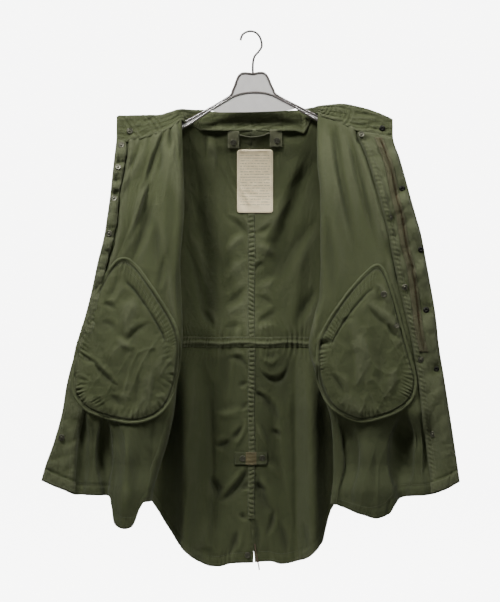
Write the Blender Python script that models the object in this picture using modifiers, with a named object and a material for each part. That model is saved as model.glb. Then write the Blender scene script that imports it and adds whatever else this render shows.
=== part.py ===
"""A fishtail parka shell on a plastic hanger, open, with both fronts turned back so that its inside shows.

The frame: the origin is the inner top of the hanger's hook, +Z is up and -Y is towards the viewer.
Sizes are millimetres. A place is given by how far OUT it lies from the coat's middle line, on the
left (side -1) or the right (side +1) as seen, by its depth Y, and by its DROP below the origin.
Each cloth panel is a curved sheet with a thin wall. Its sections come from the tables below.
"""

import bisect
import collections
import itertools
import math

import bmesh
import bpy
from mathutils import Matrix, Vector
from mathutils.bvhtree import BVHTree

MM = 0.001
SIDES = {"left": -1, "right": 1}

# Cloth and seams
CLOTH = 1.6
DOUBLED_CLOTH = 2.2
STRIP = 1.2
SEAM_GAP = 0.45  # from a panel's edge to its seam line
LAID_GAP = 0.6  # from a panel to what is sewn on it
STEEPEST = 0.4  # cloth that turns further from the viewer than this is left out of the reckoning
LAYING_PASSES, LAYING_SPOTS = 6, [(spot + 0.5) / 12 for spot in range(12)]
LAYING_STEPS = (0, 0.01, -0.01, 0.03, -0.03, 0.1, -0.1, 0.3, -0.3)

# The share of a panel's columns that each stretch of it takes. A column follows each main crease.
SIDE_TURN, MIDDLE, ROLL = 3 / 28, 6 / 28, 10 / 28
CREASE = {"left": 20 / 28, "right": 22 / 28}
FRONT_COLUMNS, FRONT_ROWS = 28, 20
BACK_RIDGE, BACK_TURN = 9 / 18, 15 / 18
BACK_COLUMNS, BACK_ROWS = 18, 20
FIRST_ROW = 14  # the drop of the first row below a panel's top edge, where the cloth leaves its seam
SHOULDER_TIP = 236
ROLL_RADIUS = 14
SEAM_TURN = 22
BACK_SIDE_TURN = 34
SHOULDER_Y = 1.2  # half of the way between the two cloths at the shoulder seam
SHOULDER_EASE = 8  # how far below the shoulder seam the cloth has left the hanger's arm


class Table:
    """Rows with named columns, read between the rows along a curve that never overshoots them."""

    def __init__(self, columns, *rows):
        names = columns.split()
        self.keys = [row[0] for row in rows]
        self.columns = {name: [row[i] for row in rows] for i, name in enumerate(names)}

    def at(self, name, key):
        keys, values = self.keys, self.columns[name]
        if key <= keys[0]:
            return values[0]
        if key >= keys[-1]:
            return values[-1]
        i = bisect.bisect_right(keys, key) - 1

        def secant(j):
            if not 0 <= j < len(keys) - 1:
                return None
            return (values[j + 1] - values[j]) / (keys[j + 1] - keys[j])

        def tangent(j):
            before, after = secant(j - 1), secant(j)
            if before is None or after is None:
                return after if before is None else before
            return 0 if before * after <= 0 else 2 * before * after / (before + after)

        width = keys[i + 1] - keys[i]
        t = (key - keys[i]) / width
        ends = values[i] * (1 + 2 * t) * (1 - t) ** 2 + values[i + 1] * t * t * (3 - 2 * t)
        return ends + width * (tangent(i) * t * (1 - t) ** 2 - tangent(i + 1) * t * t * (1 - t))


# Sections of a front: its side seam or armhole, the layer behind the roll, the roll line, the layer
# that is turned back, and its buttoning edge
FRONTS = {
    "left": Table(
        "drop side side_y mid_y roll front_y crease edge edge_y",
        (199, 236, -1, -9, 166, -13, 245, 314, -24),
        (250, 236, -1, -10, 163, -26, 248, 316, -27),
        (300, 231, -7, -12, 161, -42, 250, 321, -36),
        (390, 219, -14, -17, 159, -58, 254, 330, -46),
        (440, 226, -8, -19, 160, -61, 258, 337, -50),
        (475, 237, 8, -20, 162, -63, 262, 342, -52),
        (545, 238, 11, -22, 166, -65, 270, 359, -55),
        (620, 238, 13, -22, 164, -68, 281, 375, -58),
        (717, 235, 13, -20, 161, -70, 300, 397, -62),
        (827, 246, 16, -20, 175, -70, 328, 427, -65),
        (888, 255, 18, -20, 181, -70, 338, 440, -67),
        (959, 267, 20, -18, 196, -72, 339, 459, -69),
        (1025, 280, 20, -16, 216, -74, 336, 482, -69),
        (1104, 288, 20, -14, 236, -76, 334, 500, -67),
        (1160, 292, 20, -14, 244, -76, 333, 510, -65),
    ),
    "right": Table(
        "drop side side_y mid_y roll front_y crease edge edge_y",
        (184, 236, -1, -9, 156, -13, 276, 330, -22),
        (247, 236, -1, -10, 154, -26, 277, 331, -25),
        (301, 231, -7, -12, 154, -42, 285, 347, -36),
        (390, 219, -14, -17, 161, -58, 300, 371, -46),
        (440, 226, -8, -19, 161, -61, 309, 385, -50),
        (475, 237, 8, -20, 161, -63, 316, 395, -52),
        (545, 238, 11, -22, 161, -65, 328, 408, -55),
        (618, 238, 13, -22, 158, -68, 338, 421, -58),
        (677, 236, 13, -20, 145, -70, 346, 430, -60),
        (736, 234, 13, -20, 134, -70, 354, 436, -62),
        (804, 243, 16, -20, 152, -70, 364, 447, -65),
        (921, 262, 19, -18, 187, -70, 376, 465, -67),
        (1029, 280, 20, -16, 192, -72, 386, 481, -69),
        (1109, 288, 20, -14, 186, -74, 391, 492, -67),
        (1160, 292, 20, -14, 190, -74, 394, 500, -65),
    ),
}

# The neck seam of a turned-back front, and the hem of a front from its side seam to its edge
FRONT_NECKS = {
    "left": Table("out drop", (168, 207), (178, 215), (203, 228), (255, 247), (295, 256), (316, 250)),
    "right": Table("out drop", (156, 190), (184, 200), (220, 216), (248, 230), (300, 240), (331, 248)),
}
FRONT_HEMS = {
    "left": Table(
        "out drop", (236, 1100), (246, 1128), (262, 1152), (284, 1158), (306, 1150), (322, 1122),
        (337, 1088), (377, 1083), (400, 1083), (437, 1070), (459, 1062), (489, 1049),
    ),
    "right": Table(
        "out drop", (172, 1106), (205, 1120), (238, 1129), (271, 1136), (307, 1127), (327, 1107),
        (351, 1087), (410, 1083), (445, 1072), (484, 1052),
    ),
}
SIDE_HEM = 1056  # the drop of both side seams' lower ends

# The top edge of each half of the back: neck seam, then shoulder seam on the hanger's arm
BACK_TOPS = {
    "left": Table(
        "out drop y", (0, 226, 20), (100, 226, 20), (118, 225, 19), (130, 219, 17), (142, 208, 12),
        (150, 201, 6), (158, 200, 1.2), (200, 228, 1.2), (220, 242, 1.2), (236, 262, 1.2),
    ),
    "right": Table(
        "out drop y", (0, 226, 20), (100, 226, 20), (120, 225, 19), (130, 214, 18), (138, 200, 15),
        (145, 190, 9), (152, 184, 1.2), (200, 208, 1.2), (220, 223, 1.2), (236, 250, 1.2),
    ),
}
BACK_HEMS = {
    "left": Table(
        "out drop", (0, 1248), (50, 1250), (97, 1255), (128, 1241), (156, 1217), (175, 1194),
        (191, 1170), (208, 1147), (241, 1104), (292, SIDE_HEM),
    ),
    "right": Table(
        "out drop", (0, 1247), (39, 1245), (66, 1250), (121, 1238), (137, 1230), (160, 1208),
        (172, 1190), (180, 1160), (197, 1118), (240, 1080), (292, SIDE_HEM),
    ),
}
# Where the main ridge on each side of the back lies
BACK_RIDGES = {
    "left": Table("drop out", (184, 124), (600, 132), (720, 145), (1000, 146), (1255, 141)),
    "right": Table(
        "drop out", (184, 124), (600, 120), (745, 128), (905, 130), (1000, 137), (1110, 139), (1255, 145)
    ),
}
# Depth of the back at its middle and near its sides, and of the armhole's rear half
BACK = Table(
    "drop middle flank side_y",
    (184, 14, 12, 1.2), (226, 20, 16, 1.2), (262, 34, 24, 1.2), (300, 48, 38, 14), (390, 68, 60, 28),
    (440, 71, 64, 24), (475, 73, 66, 10), (550, 73, 68, 13), (650, 66, 62, 15), (725, 56, 50, 15),
    (830, 62, 52, 18), (950, 66, 55, 21), (1100, 62, 52, 22), (1255, 58, 48, 22),
)

# Folds: a soft ridge (height > 0, towards the viewer) or trough along a line down the cloth, with
# its width on the side of the coat's middle line and on the outer side
Fold = collections.namedtuple("Fold", "out_top drop_top out_low drop_low height inner_width outer_width")
FRONT_FOLDS = {
    "left": [
        Fold(272, 850, 290, 1400, 30, 44, 27),
        Fold(338, 860, 334, 1400, -16, 14, 14),
        Fold(364, 880, 372, 1400, 8, 15, 15),
        Fold(402, 840, 396, 1400, -17, 18, 18),
        Fold(186, 205, 214, 640, 6, 15, 15),
        Fold(214, 225, 268, 600, -5, 17, 17),
        Fold(236, 235, 320, 600, 5, 18, 18),
        Fold(200, 560, 172, 980, -6, 18, 18),
    ],
    "right": [
        Fold(286, 850, 275, 1400, 24, 50, 46),
        Fold(214, 830, 212, 1400, -11, 17, 17),
        Fold(366, 860, 391, 1400, -12, 18, 15),
        Fold(190, 190, 196, 760, 5, 16, 16),
        Fold(232, 215, 262, 640, -5, 18, 18),
        Fold(300, 300, 330, 700, 5, 18, 18),
    ],
}
BACK_FOLDS = {
    "left": [
        Fold(145, 690, 145, 1500, 38, 26, 15),
        Fold(196, 720, 214, 1400, -16, 20, 20),
        Fold(60, 720, 92, 1250, -6, 20, 20),
        Fold(100, 230, 60, 560, 6, 18, 18),
        Fold(126, 380, 96, 720, -7, 18, 18),
    ],
    "right": [
        Fold(126, 690, 146, 1500, 38, 24, 15),
        Fold(184, 720, 206, 1400, -16, 20, 20),
        Fold(40, 740, 78, 1120, -7, 18, 18),
        Fold(150, 240, 30, 640, -9, 18, 18),
        Fold(128, 260, 10, 560, 6, 18, 18),
        Fold(118, 480, 100, 720, 6, 18, 18),
    ],
}
FOLD_FADE = 0.28  # the share of a fold's length over which it rises from the flat cloth

# Tail slit: below this drop the two halves of the back part
SLIT_TOP, SLIT_LOW = 1149, 1250
SLIT_SHIFT, SLIT_HALF_WIDTH = 6, 1.6

# Sleeves: the upper and lower line of the hanging tube, and its half depth
SLEEVE = Table(
    "along top_out top_drop low_out low_drop y half_depth",
    (0.00, 239, 262, 239, 476, 10, 40),
    (0.08, 252, 269, 244, 479, 27, 50),
    (0.18, 281, 296, 249, 491, 28, 55),
    (0.30, 308, 350, 252, 516, 27, 58),
    (0.45, 326, 450, 255, 571, 26, 60),
    (0.60, 336, 560, 259, 641, 24, 60),
    (0.75, 345, 680, 267, 731, 20, 58),
    (0.88, 354, 790, 277, 816, 17, 56),
    (1.00, 360, 880, 288, 886, 14, 53),
)
CUFF = Table(
    "along top_out top_drop low_out low_drop y half_depth",
    (0.0, 360, 881, 288, 887, 14, 53), (1.0, 366, 930, 298, 934, 12, 47),
)
SLEEVE_COLUMNS, SLEEVE_ROWS = 16, 11
SLEEVE_EASE = 0.14  # the share of the sleeve that turns from the armhole's shape to the tube's
ARMHOLE_LOW, ARMHOLE_GAP = 475, 2.6

# Collar: its lower edge on the neck seam, its upper edge, and how far the top leans back.
# Here OUT is signed: negative on the left.
COLLAR = Table(
    "out low high lean",
    (-316, 248.6, 200, 6), (-309, 250.5, 197, 7), (-295, 254.6, 197, 8), (-255, 245.8, 196, 9),
    (-216, 232.6, 195, 9), (-190, 221, 188, 8), (-178, 212, 184, 6), (-170, 200, 182, 4),
    (-160, 194, 181, 2), (-150, 198, 181, 2), (-140, 207, 181, 3), (-128, 218, 181, 4),
    (-117, 223.4, 181, 5), (-90, 224.6, 185, 6), (0, 224.6, 185, 7), (100, 224.6, 182, 6),
    (119, 222.8, 180, 5), (129, 213, 178, 4), (138, 197, 177, 3), (147, 185, 176, 2),
    (156, 182, 174, 2), (166, 190, 173, 3), (184, 198.4, 171, 6), (210, 209.8, 169, 8),
    (248, 228.4, 175, 9), (271, 233, 181, 9), (317, 243.6, 199, 7), (331, 246.6, 206, 6),
)
COLLAR_COLUMNS, COLLAR_ROWS = 64, 2
COLLAR_FRONT = {"left": 180, "right": 168}  # the collar lies on the front from here out
COLLAR_BACK = 130  # and along the back inside this

# Plackets: the inner edge of the doubled strip along each buttoning edge
PLACKET_INNER = {
    "left": Table(
        "drop out", (262, 292), (316, 297), (388, 309), (460, 318), (520, 331), (600, 350),
        (760, 372), (890, 388), (979, 405), (1052, 410),
    ),
    "right": Table(
        "drop out", (246, 248), (300, 270), (437, 309), (600, 343), (735, 374), (855, 392),
        (921, 399), (975, 408), (1045, 417),
    ),
}
PLACKET_MARGIN = 3
ZIP = Table(
    "drop out", (246, 297), (316, 321), (388, 335), (435, 347), (496, 356), (550, 370), (639, 382),
    (700, 389), (747, 400),
)
ZIP_WIDTH = 13

# Pocket bags: a teardrop outline around each, from its top point, and the places of the pockets
BAGS = {
    "left": Table(
        "along out drop", (0, 300, 529), (1, 250, 583), (2, 203, 641), (3, 170, 702), (4, 164, 750),
        (5, 175, 827), (6, 196, 878), (7, 229, 905), (8, 276, 916), (9, 330, 907), (10, 372, 893),
        (11, 404, 868), (12, 418, 830), (13, 413, 765), (14, 396, 702), (15, 363, 616),
        (16, 330, 556), (17, 300, 529),
    ),
    "right": Table(
        "along out drop", (0, 296, 540), (1, 238, 594), (2, 203, 639), (3, 168, 694), (4, 152, 735),
        (5, 150, 795), (6, 162, 844), (7, 184, 880), (8, 217, 902), (9, 255, 914), (10, 300, 905),
        (11, 346, 887), (12, 376, 858), (13, 384, 820), (14, 372, 768), (15, 350, 692),
        (16, 328, 612), (17, 296, 540),
    ),
}
BAG_CENTRES = {"left": (294, 770), "right": (272, 768)}
BAG_GRID = 10
BAG_CLEARANCE = {"left": 5, "right": 3.5}  # from the cloth to the middle of the bag's edge
BAG_PUFF, BAG_REACH = 11, 10
BINDING_RADIUS = 2.6
BAG_INSET = 5  # from the middle of the binding to the bag's own edge
BINDING_POINTS = 36
POCKET_FLAPS = {"left": (300, 560, 190, 700), "right": (296, 566, 178, 716)}
FLAP_WIDTH, FLAP_SLANT = 62, math.radians(40.5)
FLAP_FRONT = -42  # the depth between the two layers of a front, from which the flap's cloth is met

# Small cloth pieces on the back: middle x, half width, upper and lower drop
Patch = collections.namedtuple("Patch", "x half_width top low")
LABEL = Patch(8.5, 42.5, 274, 423)
NECK_TABS = {"left": Patch(-42.5, 13.5, 232, 271), "right": Patch(57.5, 14.5, 228, 268)}
TAIL_TAB = Patch(-1.5, 39.5, 991, 1021)
CASING_TOP, CASING_LOW, CASING_REACH = 717, 742, 196
SEAM_TOP, SEAM_HALF_WIDTH = 424.5, 7.5

# Snaps: x and drop of each, and the pieces that it may sit on
SNAP_RADIUS, SNAP_HEIGHT = 6.2, 3.2
SNAP_REACH, SNAP_GAP = 5.4, 0.45
SNAPS = {
    "stud_left": ((-285, 234), (-304, 268), (-311, 320), (-320, 393), (-331, 475), (-441, 949)),
    "stud_right": ((257, 243), (322, 437), (356, 600), (393, 768), (422, 942)),
    "socket_right": ((306, 228), (351, 370), (394, 512), (406, 653), (429, 790)),
    "snap_neck": ((-43, 257), (60, 253)),
    "snap_tail": ((-21, 1006), (26, 1005)),
    "snap_hem": ((-9, 1235),),
    "snap_bag": ((307, 616), (336, 689)),
}

# The hanger: a moulded body with a bent wire hook, hung a little askew
HANGER_TILT = math.radians(1.5)
HANGER_THICKNESS = 6.6
ARM_BODY = [(29, 99), (46, 134), (62, 154), (155, 204), (201, 225.5)]
ARM_UNDER = [(199, 237), (152, 213), (101, 181), (70, 163), (37, 147)]
ARCH_TOP = (0, 142)
HOOK_RADIUS, HOOK_CENTRE, WIRE = 24, (0, 22), 4
HOOK_STEM = [(15, 47), (6, 58), (2.5, 72), (2, 86), (2, 98.4)]

LOOP_CORD, TAIL_CORD = 2.6, 3.2
LOOP_ENDS = ((-28.2, 240), (42.2, 236))
LOOP_SAG = 7
TAIL_CORD_ROUTE = [(8, 1208), (9.5, 1220), (11.5, 1234), (14, 1248), (17, 1259), (18.5, 1270)]


def clear_scene():
    for old in list(bpy.data.objects):
        bpy.data.objects.remove(old, do_unlink=True)


def finish(name, colour, roughness, metallic=0.0, alpha=1.0):
    """A plain material."""
    material = bpy.data.materials.new(name)
    material.use_nodes = True
    shader = material.node_tree.nodes["Principled BSDF"]
    shader.inputs["Base Color"].default_value = (*colour, 1)
    shader.inputs["Roughness"].default_value = roughness
    shader.inputs["Metallic"].default_value = metallic
    shader.inputs["Alpha"].default_value = alpha
    return material


def place(x, y, drop):
    return Vector((x, y, -drop)) * MM


def blend(start, end, share):
    return start + (end - start) * share


def ramp(share):
    """0 to 1 with soft ends."""
    share = min(max(share, 0), 1)
    return share * share * (3 - 2 * share)


def pushed(folds, out, drop):
    """How far the folds bring the cloth towards the viewer."""
    total = 0
    for fold in folds:
        run = (drop - fold.drop_top) / (fold.drop_low - fold.drop_top)
        if 0 < run < 1:
            middle = blend(fold.out_top, fold.out_low, run)
            rise = ramp(min(run, 1 - run) / FOLD_FADE)
            width = fold.inner_width if out < middle else fold.outer_width
            total += fold.height * rise * math.exp(-(((out - middle) / width) ** 2))
    return total


def row_drop(top, low, t, rows):
    """The drop of a panel's row: the first is close to its top edge, and the others are even."""
    run = t * rows
    if run < 1:
        return top + FIRST_ROW * run
    return blend(top + FIRST_ROW, low, (run - 1) / (rows - 1))


def shoulder_drop(side, out):
    return BACK_TOPS[side].at("drop", out)


def roll_radius(side, drop):
    """The roll is tight at the neck and opens out below it."""
    return blend(4, ROLL_RADIUS, ramp((drop - 210) / 160))


def front_depth(side, out, drop):
    """Depth of the turned-back layer of a front."""
    table = FRONTS[side]
    roll, edge = table.at("roll", drop), table.at("edge", drop)
    share = min(max((out - roll) / (edge - roll), 0), 1)
    depth = blend(table.at("front_y", drop), table.at("edge_y", drop), share**2)
    return depth - pushed(FRONT_FOLDS[side], out, drop)


def middle_depth(side, out, drop):
    """Depth of the layer behind the roll, which leaves the shoulder seam and falls before the hanger."""
    below = max(drop - shoulder_drop(side, out), 0)
    return blend(-SHOULDER_Y, FRONTS[side].at("mid_y", drop), 1 - math.exp(-below / SHOULDER_EASE))


def front_point(side, u, drop):
    """(out, y) of a front, from its side seam at u = 0, round the roll, to its edge at u = 1."""
    table = FRONTS[side]
    seam, seam_y = table.at("side", drop), table.at("side_y", drop) - SEAM_GAP
    radius = roll_radius(side, drop)
    inner = table.at("roll", drop) + radius
    if u < SIDE_TURN:
        angle = math.pi / 2 * u / SIDE_TURN
        out = seam - SEAM_TURN * (1 - math.cos(angle))
        return out, blend(seam_y, middle_depth(side, out, drop), math.sin(angle))
    if u < MIDDLE:
        out = blend(seam - SEAM_TURN, inner, (u - SIDE_TURN) / (MIDDLE - SIDE_TURN))
        return out, middle_depth(side, out, drop)
    middle_y, front_y = middle_depth(side, inner, drop), front_depth(side, inner, drop)
    if u < ROLL:
        angle = math.pi * (u - MIDDLE) / (ROLL - MIDDLE)
        half = (middle_y - front_y) / 2
        return inner - radius * math.sin(angle), middle_y - half + half * math.cos(angle)
    crease = CREASE[side]
    if u < crease:
        out = blend(inner, table.at("crease", drop), (u - ROLL) / (crease - ROLL))
    else:
        out = blend(table.at("crease", drop), table.at("edge", drop), (u - crease) / (1 - crease))
    return out, front_depth(side, out, drop)


def front_span(side, u):
    """The drops of a front's top edge and hem at u."""
    neck, hem = FRONT_NECKS[side], FRONT_HEMS[side]
    neck_in, neck_out = neck.keys[0], neck.keys[-1]
    hem_in, hem_out = hem.keys[0], hem.keys[-1]
    if u < MIDDLE:
        share = u / MIDDLE
        top = shoulder_drop(side, blend(SHOULDER_TIP, neck_in, share))
        return top, blend(SIDE_HEM, hem.at("drop", hem_in), share)
    if u < ROLL:
        share = ramp((u - MIDDLE) / (ROLL - MIDDLE))
        top = blend(shoulder_drop(side, neck_in), neck.at("drop", neck_in), share)
        return top, hem.at("drop", hem_in)
    crease, table = CREASE[side], FRONTS[side]
    if u < crease:
        share = (u - ROLL) / (crease - ROLL)
        at_neck = blend(neck_in, table.at("crease", neck.at("drop", neck_out)), share)
        at_hem = blend(hem_in, table.at("crease", SIDE_HEM), share)
    else:
        share = (u - crease) / (1 - crease)
        at_neck = blend(table.at("crease", neck.at("drop", neck_out)), neck_out, share)
        at_hem = blend(table.at("crease", SIDE_HEM), hem_out, share)
    return neck.at("drop", at_neck), hem.at("drop", at_hem)


def back_depth(side, out, drop):
    """Depth of the back, which leaves its top edge and falls behind the hanger."""
    top = BACK_TOPS[side]
    flank = ramp((out - 40) / 140)
    depth = blend(BACK.at("middle", drop), BACK.at("flank", drop), flank)
    depth -= pushed(BACK_FOLDS[side], out, drop)
    below = max(drop - top.at("drop", out), 0)
    return blend(top.at("y", out), depth, 1 - math.exp(-below / SHOULDER_EASE))


def back_point(side, u, drop):
    """(out, y) of half of the back, from the middle seam at u = 0 to the side seam at u = 1."""
    seam, seam_y = FRONTS[side].at("side", drop), BACK.at("side_y", drop)
    if drop > ARMHOLE_LOW:
        seam_y = FRONTS[side].at("side_y", drop) + SEAM_GAP
    turn = seam - BACK_SIDE_TURN
    slit = ramp((drop - SLIT_TOP) / (SLIT_LOW - SLIT_TOP))
    shift = SLIT_SHIFT * slit * SIDES[side]
    start = SEAM_GAP + SLIT_HALF_WIDTH * slit + shift
    ridge = BACK_RIDGES[side].at("out", drop)
    if u < BACK_RIDGE:
        out = blend(start, ridge, u / BACK_RIDGE)
        return out, back_depth(side, max(out, 0), drop)
    if u < BACK_TURN:
        out = blend(ridge, turn, (u - BACK_RIDGE) / (BACK_TURN - BACK_RIDGE))
        return out, back_depth(side, out, drop)
    angle = math.pi / 2 * (u - BACK_TURN) / (1 - BACK_TURN)
    out = turn + BACK_SIDE_TURN * math.sin(angle)
    return out, blend(seam_y, back_depth(side, turn, drop), math.cos(angle))


def back_span(side, u):
    """The drops of the back's top edge and hem at u."""
    tops, hems, ridges = BACK_TOPS[side], BACK_HEMS[side], BACK_RIDGES[side]

    def out_at(ridge, seam):
        turn = seam - BACK_SIDE_TURN
        if u < BACK_RIDGE:
            return ridge * u / BACK_RIDGE
        if u < BACK_TURN:
            return blend(ridge, turn, (u - BACK_RIDGE) / (BACK_TURN - BACK_RIDGE))
        return turn + BACK_SIDE_TURN * math.sin(math.pi / 2 * (u - BACK_TURN) / (1 - BACK_TURN))

    return (
        tops.at("drop", out_at(ridges.columns["out"][0], SHOULDER_TIP)),
        hems.at("drop", out_at(ridges.columns["out"][-1], hems.keys[-1])),
    )


def armhole_point(side, turn):
    """A point of the armhole, from the shoulder tip at turn 0, down the front and up the back."""
    tip = shoulder_drop(side, SHOULDER_TIP)
    drop = blend(tip, ARMHOLE_LOW + 1, (1 - math.cos(turn)) / 2)
    front_y = FRONTS[side].at("side_y", drop)
    rear_y = BACK.at("side_y", drop)
    across = math.sin(turn)
    y = blend((front_y + rear_y) / 2, front_y if across > 0 else rear_y, min(1, 3 * abs(across)))
    return FRONTS[side].at("side", drop) + ARMHOLE_GAP, y, drop


def tube_point(table, along, turn):
    """A point of a sleeve or cuff."""
    row = {name: table.at(name, along) for name in table.columns}
    lift = (1 + math.cos(turn)) / 2
    out = blend(row["low_out"], row["top_out"], lift)
    drop = blend(row["low_drop"], row["top_drop"], lift)
    return out, row["y"] - row["half_depth"] * math.sin(turn), drop


def sleeve_point(side, along, turn):
    tube = tube_point(SLEEVE, along, turn)
    hole = armhole_point(side, turn)
    share = ramp(along / SLEEVE_EASE)
    return tuple(blend(a, b, share) for a, b in zip(hole, tube))


def add_object(name, mesh, material, collection):
    data = bpy.data.meshes.new(name)
    mesh.to_mesh(data)
    mesh.free()
    data.materials.append(material)
    made = bpy.data.objects.new(name, data)
    collection.objects.link(made)
    data.shade_smooth()
    return made


def wall(made, thickness):
    solid = made.modifiers.new("wall", "SOLIDIFY")
    solid.thickness = thickness * MM
    solid.offset = 0
    return made


def sheet(name, columns, rows, point, thickness, material, collection, closed=False):
    """A curved sheet: point(u, t) gives its place for u and t from 0 to 1. A closed one is a tube."""
    mesh = bmesh.new()
    bmesh.ops.create_grid(mesh, x_segments=columns, y_segments=rows, size=0.5)
    for corner in mesh.verts:
        corner.co = point(round(corner.co.x + 0.5, 6), round(corner.co.y + 0.5, 6))
    if closed:
        bmesh.ops.remove_doubles(mesh, verts=mesh.verts, dist=0.00001)
    bmesh.ops.recalc_face_normals(mesh, faces=mesh.faces)
    return wall(add_object(name, mesh, material, collection), thickness)


def tree(made):
    return BVHTree.FromObject(made, bpy.context.evaluated_depsgraph_get())


def facing(trees, x, drop, start=-400, towards=1):
    """(depth, slope) of the cloth met first at (x, drop), looking along Y from start, or None."""
    met = None
    for each in trees:
        spot, normal, _, _ = each.ray_cast(place(x, start, drop), Vector((0, towards, 0)))
        if spot and (met is None or (spot.y / MM - met[0]) * towards < 0):
            met = spot.y / MM, max(abs(normal.y), STEEPEST)
    return met


def nearest(trees, places):
    """Depth of the cloth nearest the viewer at any of the places."""
    return min(met[0] for met in (facing(trees, *at) for at in places) if met)


def around(x, drop, reach):
    return [(x + dx * reach, drop + dz * reach) for dx in (-1, -0.5, 0, 0.5, 1) for dz in (-1, 0, 1)]


def laid_piece(name, trees, columns, rows, outline, thickness, material, collection, **look):
    """A flat piece sewn on other pieces: outline(u, t) gives its x and drop.

    Its corners start just off the cloth, and are moved out until none of its faces cuts into it.
    """
    outward = -look.get("towards", 1)

    def needed(u, t):
        met = facing(trees, *outline(u, t), **look)
        return met and met[0] * outward + (LAID_GAP + thickness / 2) / met[1]

    def corner(i, j):
        """The height at a corner, or as near to it as there is cloth."""
        steps = sorted(itertools.product(LAYING_STEPS, LAYING_STEPS), key=lambda s: s[0] ** 2 + s[1] ** 2)
        tries = (needed(i / columns + du, j / rows + dt) for du, dt in steps)
        return next(height for height in tries if height is not None)

    heights = {(i, j): corner(i, j) for i in range(columns + 1) for j in range(rows + 1)}
    for _ in range(LAYING_PASSES):
        for i, j in itertools.product(range(columns), range(rows)):
            for a, b in itertools.product(LAYING_SPOTS, LAYING_SPOTS):
                need = needed((i + a) / columns, (j + b) / rows)
                if need is None:
                    continue
                shares = {
                    (i, j): (1 - a) * (1 - b), (i + 1, j): a * (1 - b),
                    (i, j + 1): (1 - a) * b, (i + 1, j + 1): a * b,
                }
                short = need - sum(heights[at] * share for at, share in shares.items())
                if short > 0:
                    whole = sum(share * share for share in shares.values())
                    for at, share in shares.items():
                        heights[at] += short * share / whole

    def point(u, t):
        x, drop = outline(u, t)
        return place(x, heights[round(u * columns), round(t * rows)] * outward, drop)

    return sheet(name, columns, rows, point, thickness, material, collection)


def tube(name, points, diameter, material, collection, closed=False):
    """A wire, cord or piping through the points."""
    data = bpy.data.curves.new(name, "CURVE")
    data.dimensions = "3D"
    data.bevel_depth = diameter / 2 * MM
    data.bevel_resolution = 1
    data.use_fill_caps = True
    spline = data.splines.new("POLY")
    spline.points.add(len(points) - 1)
    for knot, at in zip(spline.points, points):
        knot.co = (*at, 1)
    spline.use_cyclic_u = closed
    data.materials.append(material)
    made = bpy.data.objects.new(name, data)
    collection.objects.link(made)
    return made


def smooth_line(knots, count):
    """Points along a Catmull-Rom curve through (x, drop) knots."""
    line = []
    for i in range(count + 1):
        run = i / count * (len(knots) - 1)
        k = min(int(run), len(knots) - 2)
        t = run - k
        a, b = knots[max(k - 1, 0)], knots[k]
        c, d = knots[k + 1], knots[min(k + 2, len(knots) - 1)]
        line.append(tuple(
            0.5 * (2 * q + (r - p) * t + (2 * p - 5 * q + 4 * r - s) * t * t
                   + (3 * q - p - 3 * r + s) * t**3)
            for p, q, r, s in zip(a, b, c, d)
        ))
    return line


def build_hanger(collection, plastic, steel):
    half = ARM_BODY + ARM_UNDER
    outline = half + [ARCH_TOP] + [(-out, drop) for out, drop in reversed(half)]
    data = bpy.data.curves.new("hanger_body", "CURVE")
    data.dimensions = "2D"
    data.fill_mode = "BOTH"
    data.extrude = HANGER_THICKNESS / 2 * MM
    spline = data.splines.new("POLY")
    spline.points.add(len(outline) - 1)
    for knot, (x, drop) in zip(spline.points, outline):
        knot.co = (x * MM, -drop * MM, 0, 1)
    spline.use_cyclic_u = True
    data.materials.append(plastic)
    body = bpy.data.objects.new("hanger_body", data)
    stand_up = Matrix.Rotation(math.pi / 2, 4, "X")
    askew = Matrix.Rotation(-HANGER_TILT, 4, "Y")
    body.matrix_world = askew @ stand_up
    collection.objects.link(body)

    arc = []
    for i in range(17):
        angle = math.radians(blend(162, -42, i / 16))
        x = HOOK_CENTRE[0] + HOOK_RADIUS * math.cos(angle)
        arc.append((x, HOOK_CENTRE[1] - HOOK_RADIUS * math.sin(angle)))
    wire = arc + smooth_line([arc[-1]] + HOOK_STEM, 14)[1:]
    hook = tube("hanger_hook", [place(x, 0, drop) for x, drop in wire], WIRE, steel, collection)
    hook.matrix_world = askew


def build_back(collection, shell):
    made = []
    for side, sign in SIDES.items():
        def point(u, t, side=side, sign=sign):
            drop = row_drop(*back_span(side, u), t, BACK_ROWS)
            out, y = back_point(side, u, drop)
            return place(sign * out, y, drop)

        made.append(sheet(f"back_{side}", BACK_COLUMNS, BACK_ROWS, point, CLOTH, shell, collection))
    return made


def build_fronts(collection, shell):
    made = {}
    for side, sign in SIDES.items():
        def point(u, t, side=side, sign=sign):
            drop = row_drop(*front_span(side, u), t, FRONT_ROWS)
            out, y = front_point(side, u, drop)
            return place(sign * out, y, drop)

        made[side] = sheet(f"front_{side}", FRONT_COLUMNS, FRONT_ROWS, point, CLOTH, shell, collection)
    return made


def build_sleeves(collection, shell):
    for side, sign in SIDES.items():
        def arm(u, t, side=side, sign=sign):
            out, y, drop = sleeve_point(side, t, 2 * math.pi * u)
            return place(sign * out, y, drop)

        def cuff(u, t, sign=sign):
            out, y, drop = tube_point(CUFF, t, 2 * math.pi * u)
            return place(sign * out, y, drop)

        sheet(f"sleeve_{side}", SLEEVE_COLUMNS, SLEEVE_ROWS, arm, CLOTH, shell, collection, closed=True)
        sheet(f"cuff_{side}", SLEEVE_COLUMNS, 2, cuff, CLOTH, shell, collection, closed=True)


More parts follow.
